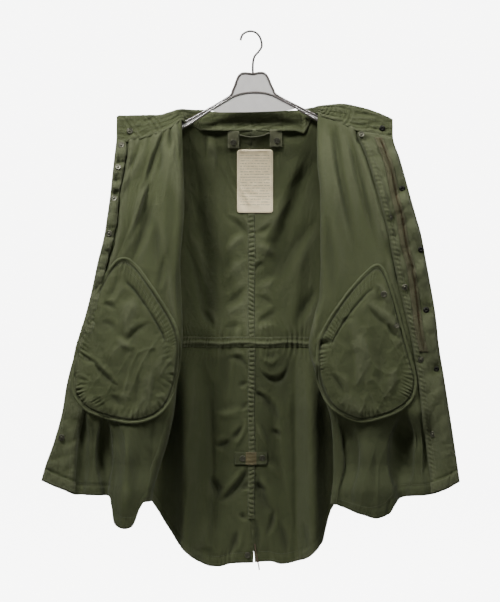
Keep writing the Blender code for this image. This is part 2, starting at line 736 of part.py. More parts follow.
def collar_depth(x):
    """The collar lies on both neck seams and crosses over the hanger's arms between them."""
    side = "left" if x < 0 else "right"
    out = abs(x)
    front_from = COLLAR_FRONT[side]
    at_front = front_depth(side, max(out, front_from), FRONT_NECKS[side].at("drop", max(out, front_from)))
    at_back = BACK_TOPS[side].at("y", min(out, COLLAR_BACK))
    return blend(at_back, at_front, ramp((out - COLLAR_BACK) / (front_from - COLLAR_BACK)))


def build_collar(collection, shell):
    first, last = COLLAR.keys[0], COLLAR.keys[-1]

    def point(u, t):
        x = blend(first, last, u)
        drop = blend(COLLAR.at("low", x), COLLAR.at("high", x), t)
        return place(x, collar_depth(x) + COLLAR.at("lean", x) * t, drop)

    return sheet("collar", COLLAR_COLUMNS, COLLAR_ROWS, point, DOUBLED_CLOTH, shell, collection)


def build_plackets(collection, fronts, shell, tape):
    """The doubled strips along both edges, and the zip's tape on the right one."""
    made = {}
    for side, sign in SIDES.items():
        def outline(u, t, side=side, sign=sign):
            def out_at(drop):
                outer = FRONTS[side].at("edge", drop) - PLACKET_MARGIN
                return blend(PLACKET_INNER[side].at("out", drop), outer, u)

            neck, hem = FRONT_NECKS[side], FRONT_HEMS[side]
            top = neck.at("drop", out_at(neck.at("drop", neck.keys[-1]))) + PLACKET_MARGIN
            low = hem.at("drop", out_at(hem.at("drop", hem.keys[-1]))) - PLACKET_MARGIN
            drop = blend(top, low, t)
            return sign * out_at(drop), drop

        made[side] = laid_piece(
            f"placket_{side}", [tree(fronts[side])], 4, 18, outline, STRIP, shell, collection
        )

    def zip_outline(u, t):
        drop = blend(ZIP.keys[0], ZIP.keys[-1], t)
        return ZIP.at("out", drop) + (u - 0.5) * ZIP_WIDTH, drop + 3

    laid_piece("zip_tape", [tree(made["right"])], 1, 20, zip_outline, STRIP, tape, collection)
    return made


def bag_outline(side, share, inset=0.0):
    """A point of a pocket bag's outline, share of the way round, drawn in by inset millimetres."""
    table = BAGS[side]
    along = share % 1 * table.keys[-1]
    out, drop = table.at("out", along), table.at("drop", along)
    middle_out, middle_drop = BAG_CENTRES[side]
    radius = math.hypot(out - middle_out, drop - middle_drop)
    scale = 1 - inset / radius
    return blend(middle_out, out, scale), blend(middle_drop, drop, scale)


def bag_depth(trees, side, out, drop, radius):
    cloth = nearest(trees, around(SIDES[side] * out, drop, BAG_REACH))
    return cloth - BAG_CLEARANCE[side] - BAG_PUFF * (1 - radius**2)


def build_bags(collection, fronts, shell, binding):
    """A doubled bag inside each pocket, with a bound edge."""
    made = {}
    for side, sign in SIDES.items():
        trees = [tree(fronts[side])]

        def point(u, t, side=side, sign=sign, trees=trees):
            across, down = 2 * u - 1, 2 * t - 1
            x = across * math.sqrt(1 - down * down / 2)
            z = down * math.sqrt(1 - across * across / 2)
            radius = math.hypot(x, z)
            share = math.atan2(-x, -z) / (2 * math.pi)
            out, drop = bag_outline(side, share, BAG_INSET)
            middle_out, middle_drop = BAG_CENTRES[side]
            out, drop = blend(middle_out, out, radius), blend(middle_drop, drop, radius)
            return place(sign * out, bag_depth(trees, side, out, drop, radius), drop)

        made[side] = sheet(f"bag_{side}", BAG_GRID, BAG_GRID, point, DOUBLED_CLOTH, shell, collection)
        edge = []
        for i in range(BINDING_POINTS):
            out, drop = bag_outline(side, i / BINDING_POINTS)
            edge.append(place(sign * out, bag_depth(trees, side, out, drop, 1), drop))
        tube(f"bag_binding_{side}", edge, 2 * BINDING_RADIUS, binding, collection, closed=True)
    return made


def build_pocket_flaps(collection, fronts, shell):
    """A slanted flap over each pocket, on the outside of the front."""
    for side, sign in SIDES.items():
        def outline(u, t, side=side, sign=sign):
            high_out, high_drop, low_out, low_drop = POCKET_FLAPS[side]
            out = blend(high_out, low_out, u) + FLAP_WIDTH * t * math.cos(FLAP_SLANT)
            return sign * out, blend(high_drop, low_drop, u) + FLAP_WIDTH * t * math.sin(FLAP_SLANT)

        laid_piece(
            f"pocket_flap_{side}", [tree(fronts[side])], 8, 3, outline, CLOTH, shell, collection,
            start=FLAP_FRONT, towards=-1,
        )


def patch_outline(patch):
    def outline(u, t):
        return patch.x + (2 * u - 1) * patch.half_width, blend(patch.top, patch.low, t)

    return outline


def build_back_details(collection, backs, shell, binding, tape, cream):
    """The felled middle seam, the waist's drawcord casing, the label and the tabs."""
    back = [tree(each) for each in backs]

    def seam(u, t):
        return (2 * u - 1) * SEAM_HALF_WIDTH, blend(SEAM_TOP, SLIT_TOP, t)

    felled = laid_piece("back_seam", back, 2, 34, seam, STRIP, shell, collection)
    under = back + [tree(felled)]

    def casing(u, t):
        return (2 * u - 1) * CASING_REACH, blend(CASING_TOP, CASING_LOW, t)

    laid_piece("waist_casing", under, 36, 2, casing, STRIP, shell, collection)
    laid_piece("label", back, 5, 8, patch_outline(LABEL), STRIP, cream, collection)
    tabs = {"tail_tab": laid_piece(
        "tail_tab", under, 6, 2, patch_outline(TAIL_TAB), STRIP, binding, collection
    )}
    for side in SIDES:
        name = f"neck_tab_{side}"
        tabs[name] = laid_piece(
            name, back, 2, 3, patch_outline(NECK_TABS[side]), STRIP, binding, collection
        )

    ends = LOOP_ENDS
    line = []
    for i in range(15):
        share = i / 14
        x = blend(ends[0][0], ends[1][0], share)
        drop = blend(ends[0][1], ends[1][1], share) + LOOP_SAG * 4 * share * (1 - share)
        y = nearest(back, around(x, drop, 4)) - LOOP_CORD / 2 - LAID_GAP
        line.append(place(x, y, drop))
    tube("neck_loop", line, LOOP_CORD, binding, collection)

    route = smooth_line(TAIL_CORD_ROUTE, 12)
    y = nearest(back, [spot for at in route for spot in around(*at, 4)]) - TAIL_CORD / 2 - LAID_GAP
    tube("tail_cord", [place(x, y, drop) for x, drop in route], TAIL_CORD, tape, collection)
    return tabs


def build_snaps(collection, carriers, brass):
    for group, places in SNAPS.items():
        trees = [tree(each) for each in carriers[group]]
        for number, (x, drop) in enumerate(places, 1):
            y = nearest(trees, around(x, drop, SNAP_REACH)) - SNAP_GAP
            mesh = bmesh.new()
            bmesh.ops.create_cone(
                mesh, cap_ends=True, segments=8, radius1=SNAP_RADIUS * MM,
                radius2=SNAP_RADIUS * 0.8 * MM, depth=SNAP_HEIGHT * MM,
            )
            face_viewer = Matrix.Rotation(math.pi / 2, 4, "X")
            at = Matrix.Translation(place(x, y - SNAP_HEIGHT / 2, drop))
            bmesh.ops.transform(mesh, matrix=at @ face_viewer, verts=mesh.verts)
            add_object(f"{group}_{number}", mesh, brass, collection)


def main():
    clear_scene()
    collection = bpy.data.collections.new("fishtail_parka")
    bpy.context.scene.collection.children.link(collection)
    shell = finish("olive_cotton", (0.085, 0.10, 0.035), 0.85)
    binding = finish("olive_binding", (0.06, 0.07, 0.028), 0.8)
    tape = finish("bronze_tape", (0.10, 0.07, 0.03), 0.7)
    cream = finish("cream_label", (0.55, 0.50, 0.33), 0.8)
    brass = finish("blackened_brass", (0.035, 0.033, 0.02), 0.45, metallic=0.7)
    plastic = finish("smoked_plastic", (0.45, 0.45, 0.44), 0.2, alpha=0.6)
    steel = finish("bright_steel", (0.6, 0.58, 0.55), 0.25, metallic=1.0)

    build_hanger(collection, plastic, steel)
    backs = build_back(collection, shell)
    fronts = build_fronts(collection, shell)
    build_sleeves(collection, shell)
    collar = build_collar(collection, shell)
    plackets = build_plackets(collection, fronts, shell, tape)
    bags = build_bags(collection, fronts, shell, binding)
    build_pocket_flaps(collection, fronts, shell)
    tabs = build_back_details(collection, backs, shell, binding, tape, cream)
    build_snaps(collection, {
        "stud_left": [fronts["left"], plackets["left"], collar],
        "stud_right": [fronts["right"], plackets["right"], collar],
        "socket_right": [fronts["right"], plackets["right"], collar],
        "snap_neck": [tabs["neck_tab_left"], tabs["neck_tab_right"]],
        "snap_tail": [tabs["tail_tab"]],
        "snap_hem": backs,
        "snap_bag": [bags["right"]],
    }, brass)


main()
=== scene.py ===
import math
from collections import namedtuple
from functools import partial

import bmesh
import bpy
import numpy as np
from mathutils import Matrix, Vector
from mathutils.bvhtree import BVHTree


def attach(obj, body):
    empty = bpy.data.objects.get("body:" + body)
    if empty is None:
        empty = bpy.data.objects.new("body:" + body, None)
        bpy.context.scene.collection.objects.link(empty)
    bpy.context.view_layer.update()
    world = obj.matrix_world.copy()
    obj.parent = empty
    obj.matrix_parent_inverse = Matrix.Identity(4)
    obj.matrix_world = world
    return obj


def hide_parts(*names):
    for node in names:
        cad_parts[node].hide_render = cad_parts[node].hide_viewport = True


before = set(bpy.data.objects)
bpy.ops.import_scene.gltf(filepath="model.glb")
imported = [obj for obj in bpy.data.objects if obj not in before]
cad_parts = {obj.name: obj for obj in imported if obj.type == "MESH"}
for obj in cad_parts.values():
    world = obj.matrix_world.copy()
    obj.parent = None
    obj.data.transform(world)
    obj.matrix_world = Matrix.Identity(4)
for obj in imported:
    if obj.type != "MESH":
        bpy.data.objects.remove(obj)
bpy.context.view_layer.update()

# The camera stands where the photographer stood, six metres off and level with the middle of the
# coat, so that its lines stay almost parallel. A pale floor and soft light from above go with it.
MM = 0.001
PHOTO_HEIGHT = 1.4147  # metres of the coat's own plane from the top to the bottom of the frame
CAMERA_AWAY, CAMERA_DROP, CAMERA_SIDE = 6.0, 0.632, -0.0035
SENSOR = 36
FLOOR_DROP = 1.42

camera = bpy.data.objects.new("camera", bpy.data.cameras.new("camera"))
camera.data.sensor_width = SENSOR
camera.data.lens = SENSOR * CAMERA_AWAY / PHOTO_HEIGHT
camera.location = (CAMERA_SIDE, -CAMERA_AWAY, -CAMERA_DROP)
camera.rotation_euler = (math.pi / 2, 0, 0)
bpy.context.scene.collection.objects.link(camera)
bpy.context.scene.camera = camera


def add_light(name, size, power, place, aim, spread=180):
    lamp = bpy.data.lights.new(name, "AREA")
    lamp.size = size
    lamp.spread = math.radians(spread)
    lamp.energy = power
    light = bpy.data.objects.new(name, lamp)
    light.location = place
    light.rotation_mode = "QUATERNION"
    light.rotation_quaternion = (Vector(aim) - Vector(place)).to_track_quat("-Z", "Y")
    bpy.context.scene.collection.objects.link(light)


add_light("key", 0.6, 52, (-1.3, -1.4, 1.8), (-0.1, 0, -0.65), spread=110)
add_light("fill", 0.6, 9, (1.4, -1.3, 1.8), (0.12, 0, -0.35), spread=60)
add_light("behind", 1.6, 58, (0.7, 1.9, 1.5), (0, 0, -0.6))
add_light("rim", 2.0, 24, (0.6, 2.4, 1.4), (0, 0, -0.5))

# The room is pale and bright where the camera sees it, and lights the coat only softly
ROOM_SEEN, ROOM_LIGHT = 7.5, 0.055
PALE, PAPER = (1.0, 1.0, 0.99, 1), (0.34, 0.34, 0.33, 1)
world = bpy.data.worlds.new("studio")
world.use_nodes = True
room = world.node_tree
seen = room.nodes.new("ShaderNodeLightPath")
strength = room.nodes.new("ShaderNodeMapRange")
strength.inputs["To Min"].default_value = ROOM_LIGHT
strength.inputs["To Max"].default_value = ROOM_SEEN
room.links.new(seen.outputs["Is Camera Ray"], strength.inputs["Value"])
room.nodes["Background"].inputs["Color"].default_value = PALE
room.links.new(strength.outputs[0], room.nodes["Background"].inputs["Strength"])
bpy.context.scene.world = world

floor_mesh = bmesh.new()
bmesh.ops.create_grid(floor_mesh, x_segments=1, y_segments=1, size=30)
bmesh.ops.translate(floor_mesh, verts=floor_mesh.verts, vec=(0, 0, -FLOOR_DROP))
floor = bpy.data.objects.new("floor", bpy.data.meshes.new("floor"))
floor_mesh.to_mesh(floor.data)
floor_mesh.free()
paper = bpy.data.materials.new("pale_paper")
paper.use_nodes = True
paper_shader = paper.node_tree.nodes["Principled BSDF"]
paper_shader.inputs["Base Color"].default_value = PAPER
paper_shader.inputs["Roughness"].default_value = 0.9
paper_shader.inputs["Emission Color"].default_value = PALE
seen = paper.node_tree.nodes.new("ShaderNodeLightPath")
strength = paper.node_tree.nodes.new("ShaderNodeMath")
strength.operation = "MULTIPLY"
strength.inputs[1].default_value = ROOM_SEEN
paper.node_tree.links.new(seen.outputs["Is Camera Ray"], strength.inputs[0])
paper.node_tree.links.new(strength.outputs[0], paper_shader.inputs["Emission Strength"])
floor.data.materials.append(paper)
bpy.context.scene.collection.objects.link(floor)


# The end of the tail's drawcord: a thin brown cord that comes out of the slit's casing and hangs
# over the hem, cut off plain. The routes are in millimetres: x and the drop below the hook.
TAIL_CORD, TAIL_CORD_Y = 3.2, 55.6
TAIL_CORD_ROUTE = [(8, 1208), (9.5, 1220), (11.5, 1234), (14, 1248), (17, 1259), (18.5, 1270)]


def smooth_line(knots, count):
    """Points along a Catmull-Rom curve through (x, drop) knots."""
    knots = np.array(knots, float)
    line = []
    for run in np.linspace(0, len(knots) - 1, count + 1):
        k = min(int(run), len(knots) - 2)
        t = run - k
        a, b, c, d = knots[max(k - 1, 0)], knots[k], knots[k + 1], knots[min(k + 2, len(knots) - 1)]
        square, cube = 2 * a - 5 * b + 4 * c - d, 3 * b - a - 3 * c + d
        line.append(0.5 * (2 * b + (c - a) * t + square * t**2 + cube * t**3))
    return np.array(line)


def cord_curve(name, points, diameter):
    """A round cord along points in metres."""
    data = bpy.data.curves.new(name, "CURVE")
    data.dimensions = "3D"
    data.bevel_depth = 1
    data.bevel_resolution = 4
    data.use_fill_caps = True
    spline = data.splines.new("POLY")
    spline.points.add(len(points) - 1)
    for knot, at in zip(spline.points, points):
        knot.co = (*at, 1)
        knot.radius = diameter / 2
    made = bpy.data.objects.new(name, data)
    bpy.context.scene.collection.objects.link(made)
    return made


tail_line = [Vector((x, TAIL_CORD_Y, -drop)) * MM for x, drop in smooth_line(TAIL_CORD_ROUTE, 24)]
tail_cord = cord_curve("tail_cord_end", tail_line, TAIL_CORD * MM)
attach(tail_cord, "root")
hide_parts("tail_cord")


# The cotton of the shell: a washed olive sateen, matt, with threads that show close up, a mottled
# dye, and paler where it is rubbed. Painted highlight and shade: its colour is paler on its ridges and
# darker in its folds. The other cloths use the same weave.
OLIVE_LIT, OLIVE_DEEP = (0.066, 0.077, 0.032), (0.043, 0.052, 0.018)
THREAD = 0.0007  # metres from one thread to the next


def node(tree, kind, **settings):
    made = tree.nodes.new(kind)
    for name, value in settings.items():
        setattr(made, name, value)
    return made


def link(tree, source, target):
    tree.links.new(source, target)


def maths(tree, operation, a, b=None, clamp=False):
    made = node(tree, "ShaderNodeMath", operation=operation, use_clamp=clamp)
    for socket, value in zip(made.inputs, (a, b)):
        if value is None:
            continue
        if isinstance(value, (int, float)):
            socket.default_value = value
        else:
            link(tree, value, socket)
    return made.outputs[0]


def noise_of(tree, vector, scale, detail=3, roughness=0.55):
    made = node(tree, "ShaderNodeTexNoise")
    made.inputs["Scale"].default_value = scale
    made.inputs["Detail"].default_value = detail
    made.inputs["Roughness"].default_value = roughness
    link(tree, vector, made.inputs["Vector"])
    return made.outputs["Fac"]


def mixed(tree, share, first, second):
    """A colour between two: each is a colour or a socket."""
    made = node(tree, "ShaderNodeMix", data_type="RGBA")
    link(tree, share, made.inputs[0])
    for socket, value in ((made.inputs[6], first), (made.inputs[7], second)):
        if isinstance(value, tuple):
            socket.default_value = (*value, 1)
        else:
            link(tree, value, socket)
    return made.outputs[2]


def new_material(name):
    """A material with its tree, its shader and its texture coordinates."""
    material = bpy.data.materials.new(name)
    material.use_nodes = True
    tree = material.node_tree
    return material, tree, tree.nodes["Principled BSDF"], node(tree, "ShaderNodeTexCoord").outputs


def roughen(tree, shader, mask, spread, lowest):
    link(tree, maths(tree, "ADD", maths(tree, "MULTIPLY", mask, spread), lowest), shader.inputs["Roughness"])


def emboss(tree, shader, height, distance, strength=1.0):
    """Raises the surface in small relief: the distance is in metres."""
    raised = node(tree, "ShaderNodeBump")
    raised.inputs["Distance"].default_value = distance
    raised.inputs["Strength"].default_value = strength
    link(tree, height, raised.inputs["Height"])
    link(tree, raised.outputs["Normal"], shader.inputs["Normal"])


def split_place(tree, vector):
    """The X, Y and Z of a vector as sockets."""
    made = node(tree, "ShaderNodeSeparateXYZ")
    link(tree, vector, made.inputs[0])
    return made.outputs


def new_group(name, inputs, outputs):
    group = bpy.data.node_groups.new(name, "ShaderNodeTree")
    for socket_name, kind in inputs:
        group.interface.new_socket(socket_name, in_out="INPUT", socket_type=kind)
    for socket_name, kind in outputs:
        group.interface.new_socket(socket_name, in_out="OUTPUT", socket_type=kind)
    return group, node(group, "NodeGroupInput"), node(group, "NodeGroupOutput")


weave, weave_in, weave_out = new_group(
    "weave",
    [("UV", "NodeSocketVector"), ("Place", "NodeSocketVector"), ("Ridge", "NodeSocketFloat"),
     ("Worn", "NodeSocketFloat"), ("Light", "NodeSocketColor"), ("Deep", "NodeSocketColor"),
     ("Faded And Ridge Lit", "NodeSocketColor")],
    [("Color", "NodeSocketColor"), ("Roughness", "NodeSocketFloat"), ("Height", "NodeSocketFloat")],
)
# Painted shade: the colour that the troughs and shaded places of the cloth are darkened towards
SHADOW = (0.012, 0.014, 0.006)
MOTTLE, SLUB, CRINKLE = 9, 160, 34  # how fine each noise is: cells in a metre
calc, spot = partial(maths, weave), weave_in.outputs["Place"]
u_way, v_way, _ = split_place(weave, weave_in.outputs["UV"])
warp = calc("SINE", calc("MULTIPLY", u_way, 2 * math.pi / THREAD))
weft = calc("SINE", calc("MULTIPLY", v_way, 2 * math.pi / THREAD))
slant = calc("MULTIPLY", calc("ADD", u_way, v_way), math.pi / THREAD)
twill = calc("MULTIPLY", calc("SINE", slant), 0.6)
threads = calc("ADD", calc("MULTIPLY", warp, weft), twill)
mottle = noise_of(weave, spot, MOTTLE, 5)
slubs = noise_of(weave, spot, SLUB, 3)
blotch = calc("ADD", calc("MULTIPLY", mottle, 0.75), calc("MULTIPLY", slubs, 0.35))
dye = mixed(weave, blotch, weave_in.outputs["Deep"], weave_in.outputs["Light"])
# Painted highlight and shade: raised relief makes the cloth paler, like a rubbed edge, and hollows less pale
shade = node(weave, "ShaderNodeMapRange")
for socket, value in (("From Min", -1), ("From Max", 1), ("To Min", -0.35), ("To Max", 0.35)):
    shade.inputs[socket].default_value = value
link(weave, weave_in.outputs["Ridge"], shade.inputs["Value"])
wear_and_ridge_light = calc("ADD", calc("MULTIPLY", weave_in.outputs["Worn"], 0.4), shade.outputs[0])
rubbed = calc("MULTIPLY", wear_and_ridge_light, calc("ADD", slubs, 0.35), clamp=True)
# Painted shade: troughs, and places that a relief marks as shaded, are mixed towards the shadow colour
sunk = calc("MULTIPLY", weave_in.outputs["Ridge"], -0.28, clamp=True)
faded_and_ridge_lit = mixed(weave, rubbed, dye, weave_in.outputs["Faded And Ridge Lit"])
link(weave, mixed(weave, sunk, faded_and_ridge_lit, SHADOW), weave_out.inputs["Color"])
link(weave, calc("ADD", calc("MULTIPLY", slubs, 0.2), 0.72), weave_out.inputs["Roughness"])
crinkle = noise_of(weave, spot, CRINKLE, 4)
crinkle = calc("ABSOLUTE", calc("SUBTRACT", crinkle, 0.5))
crumple = calc("ADD", calc("MULTIPLY", crinkle, -5.0), calc("MULTIPLY", slubs, 0.8))
link(weave, calc("ADD", calc("MULTIPLY", threads, 0.18), crumple), weave_out.inputs["Height"])


def cotton(name, light, deep, faded_and_ridge_lit, sheen=0.05, bump=0.0009):
    """A cotton cloth that reads its UV map in metres and the attributes ridge and worn."""
    material, tree, shader, place = new_material(name)
    made = node(tree, "ShaderNodeGroup", node_tree=weave)
    link(tree, place["UV"], made.inputs["UV"])
    link(tree, place["Object"], made.inputs["Place"])
    for attribute in ("ridge", "worn"):
        read = node(tree, "ShaderNodeAttribute", attribute_name=attribute)
        link(tree, read.outputs["Fac"], made.inputs[attribute.capitalize()])
    for socket, colour in (("Light", light), ("Deep", deep), ("Faded And Ridge Lit", faded_and_ridge_lit)):
        made.inputs[socket].default_value = (*colour, 1)
    link(tree, made.outputs["Color"], shader.inputs["Base Color"])
    link(tree, made.outputs["Roughness"], shader.inputs["Roughness"])
    emboss(tree, shader, made.outputs["Height"], bump, 0.7)
    shader.inputs["Sheen Weight"].default_value = sheen
    shader.inputs["Sheen Roughness"].default_value = 0.5
    shader.inputs["Specular IOR Level"].default_value = 0.25
    return material


shell = cotton("olive_cotton", OLIVE_LIT, OLIVE_DEEP, (0.105, 0.112, 0.066))


# The back is cut in two halves that meet in the middle seam. Each hangs from its shoulder seam,
# falls behind the hanger, and ends in the long curved tail, where the halves part in a slit.
# Places are in millimetres: how far OUT from the middle line, the depth Y, and the DROP below the hook.
SIDES = {"left": -1, "right": 1}
CLOTH = 1.3
SEAM_GAP, SHOULDER_Y, SHOULDER_EASE, SHOULDER_TIP = 0.45, 1.2, 8, 236
BACK_RIDGE, BACK_TURN, BACK_SIDE_TURN = 9 / 18, 15 / 18, 34
BACK_GRID = (122, 215)
SIDE_HEM, ARMHOLE_LOW = 1056, 475
SLIT_TOP, SLIT_OPEN, SLIT_LOW, SLIT_SHIFT, SLIT_HALF_WIDTH = 1149, 1208, 1250, 6, 1.6
FOLD_FADE = 0.28
HEM_DEPTH, WAIST_DROP, GATHER_REACH, DIP_REACH = 24, 729.5, 200, 205
MIDDLE_FLAT, FLANK_RUN = 40, 140
# The cloth is drawn tight above one drop and hangs freely below it; the tail is shaded below another
TIGHT_DROP, TIGHT_FADE = 640, 110
TAIL_SHADE_TOP, TAIL_SHADE_HALF = 745, 118
NOISE_SHIFT = 600  # where on the noise the coat's middle line falls


class Table:
    """Rows with named columns, read between the rows along a curve that never overshoots them."""

    STEP = 0.5

    def __init__(self, columns, *rows):
        names = columns.split()
        data = np.array(rows, float)
        keys = data[:, 0]
        self.first, self.last = keys[0], keys[-1]
        self.grid = np.arange(self.first, self.last + self.STEP, self.STEP)
        if self.last - self.first < 50:
            self.grid = np.linspace(self.first, self.last, 400)
        width = np.diff(keys)
        self.columns = {}
        for name, values in zip(names[1:], data[:, 1:].T):
            slope = np.diff(values) / width
            inner = np.zeros(len(keys))
            same = slope[:-1] * slope[1:] > 0
            total = np.where(same, slope[:-1] + slope[1:], 1)
            inner[1:-1] = np.where(same, 2 * slope[:-1] * slope[1:] / total, 0)
            inner[0], inner[-1] = slope[0], slope[-1]
            at = np.clip(self.grid, keys[0], keys[-1])
            i = np.clip(np.searchsorted(keys, at, side="right") - 1, 0, len(keys) - 2)
            t = (at - keys[i]) / width[i]
            ends = values[i] * (1 + 2 * t) * (1 - t) ** 2 + values[i + 1] * t * t * (3 - 2 * t)
            bends = inner[i] * t * (1 - t) ** 2 - inner[i + 1] * t * t * (1 - t)
            self.columns[name] = ends + width[i] * bends

    def at(self, name, key):
        return np.interp(key, self.grid, self.columns[name])


def blend(start, end, share):
    return start + (end - start) * share


def ramp(share):
    """0 to 1 with soft ends."""
    share = np.clip(share, 0, 1)
    return share * share * (3 - 2 * share)


def bell(value, middle, width):
    """1 at the middle, falling softly to 0 on both sides."""
    return np.exp(-(((value - middle) / width) ** 2))


def listed(kind, *rows):
    return [kind(*row) for row in rows]


BACK_TOPS = {
    "left": Table(
        "out drop y", (0, 226, 20), (100, 226, 20), (118, 225, 19), (130, 219, 17), (142, 208, 12),
        (150, 201, 6), (158, 200, 1.2), (200, 228, 1.2), (220, 242, 1.2), (236, 262, 1.2),
    ),
    "right": Table(
        "out drop y", (0, 226, 20), (100, 226, 20), (120, 225, 19), (130, 214, 18), (138, 200, 15),
        (145, 190, 9), (152, 184, 1.2), (200, 208, 1.2), (220, 223, 1.2), (236, 250, 1.2),
    ),
}
BACK_HEMS = {
    "left": Table(
        "out drop", (0, 1253), (50, 1255), (80, 1262), (97, 1261), (128, 1247), (156, 1223), (165, 1211),
        (175, 1198), (191, 1174), (208, 1150), (241, 1106), (292, SIDE_HEM),
    ),
    "right": Table(
        "out drop", (0, 1252), (39, 1250), (66, 1256), (121, 1244), (137, 1236), (160, 1213), (172, 1194),
        (180, 1163), (197, 1120), (240, 1081), (292, SIDE_HEM),
    ),
}
BACK_RIDGES = {
    "left": Table(
        "drop out", (184, 124), (600, 132), (720, 145), (1000, 146), (1255, 141),
    ),
    "right": Table(
        "drop out", (184, 124), (600, 120), (745, 128), (905, 130), (1000, 137), (1110, 139), (1255, 145),
    ),
}
BACK = Table(
    "drop middle flank side_y",
    (184, 14, 12, 1.2), (226, 20, 16, 1.2), (262, 34, 24, 1.2), (300, 48, 38, 14), (390, 68, 60, 28),
    (440, 71, 64, 24), (475, 73, 66, 10), (550, 73, 68, 13), (650, 66, 62, 15), (725, 56, 50, 15),
    (830, 62, 52, 18), (950, 66, 55, 21), (1100, 62, 52, 22), (1255, 58, 48, 22),
)
# A main fold: a ridge (height > 0, towards the viewer) or trough down the cloth, and its two widths
Fold = namedtuple("Fold", "out_top drop_top out_low drop_low height inner_width outer_width")
BACK_FOLDS = {
    "left": listed(
        Fold,
        (152, 690, 157, 1500, 36, 29, 24), (210, 720, 222, 1400, -14, 20, 20),
        (100, 800, 86, 1300, -7, 9, 9), (60, 720, 92, 1250, -6, 20, 20), (100, 230, 60, 560, 6, 18, 18),
        (126, 380, 96, 720, -7, 18, 18),
    ),
    "right": listed(
        Fold,
        (138, 690, 153, 1500, 36, 26, 25), (204, 720, 218, 1400, -14, 20, 20),
        (104, 780, 108, 1300, -6, 8, 8), (40, 740, 78, 1120, -7, 18, 18), (150, 240, 30, 640, -4, 22, 22),
        (128, 260, 10, 560, 6, 18, 18), (118, 480, 100, 720, 6, 18, 18),
    ),
}
SIDE_COLUMNS = "drop side side_y mid_y roll front_y crease edge edge_y"
FRONTS = {
    "left": Table(
        SIDE_COLUMNS,
        (199, 236, -1, -9, 166, -13, 245, 314, -24),
        (250, 236, -1, -10, 163, -26, 248, 316, -27),
        (300, 231, -7, -12, 161, -42, 250, 321, -36),
        (390, 219, -14, -17, 159, -58, 254, 330, -46),
        (440, 226, -8, -19, 160, -61, 258, 337, -50),
        (475, 237, 8, -20, 162, -63, 262, 342, -52),
        (545, 238, 11, -22, 166, -65, 270, 359, -55),
        (620, 238, 13, -22, 164, -68, 281, 375, -58),
        (717, 235, 13, -20, 161, -70, 300, 401, -62),
        (827, 246, 16, -20, 175, -70, 328, 430, -65),
        (888, 255, 18, -20, 181, -70, 338, 440, -67),
        (959, 267, 20, -18, 196, -72, 339, 459, -69),
        (1025, 280, 20, -16, 216, -74, 336, 482, -69),
        (1104, 288, 20, -14, 236, -76, 334, 500, -67),
        (1160, 292, 20, -14, 244, -76, 333, 510, -65),
    ),
    "right": Table(
        SIDE_COLUMNS,
        (184, 236, -1, -9, 156, -13, 276, 330, -22),
        (247, 236, -1, -10, 154, -26, 277, 331, -25),
        (301, 231, -7, -12, 154, -42, 285, 347, -36),
        (390, 219, -14, -17, 161, -58, 300, 371, -46),
        (440, 226, -8, -19, 161, -61, 309, 385, -50),
        (475, 237, 8, -20, 161, -63, 316, 395, -52),
        (545, 238, 11, -22, 161, -65, 328, 408, -55),
        (618, 238, 13, -22, 158, -68, 338, 421, -58),
        (677, 236, 13, -20, 145, -70, 346, 430, -60),
        (736, 234, 13, -20, 134, -70, 354, 436, -62),
        (804, 243, 16, -20, 152, -70, 364, 447, -65),
        (921, 262, 19, -18, 187, -70, 376, 465, -67),
        (1029, 280, 20, -16, 192, -72, 386, 481, -69),
        (1109, 288, 20, -14, 186, -74, 391, 492, -67),
        (1160, 292, 20, -14, 190, -74, 394, 500, -65),
    ),
}
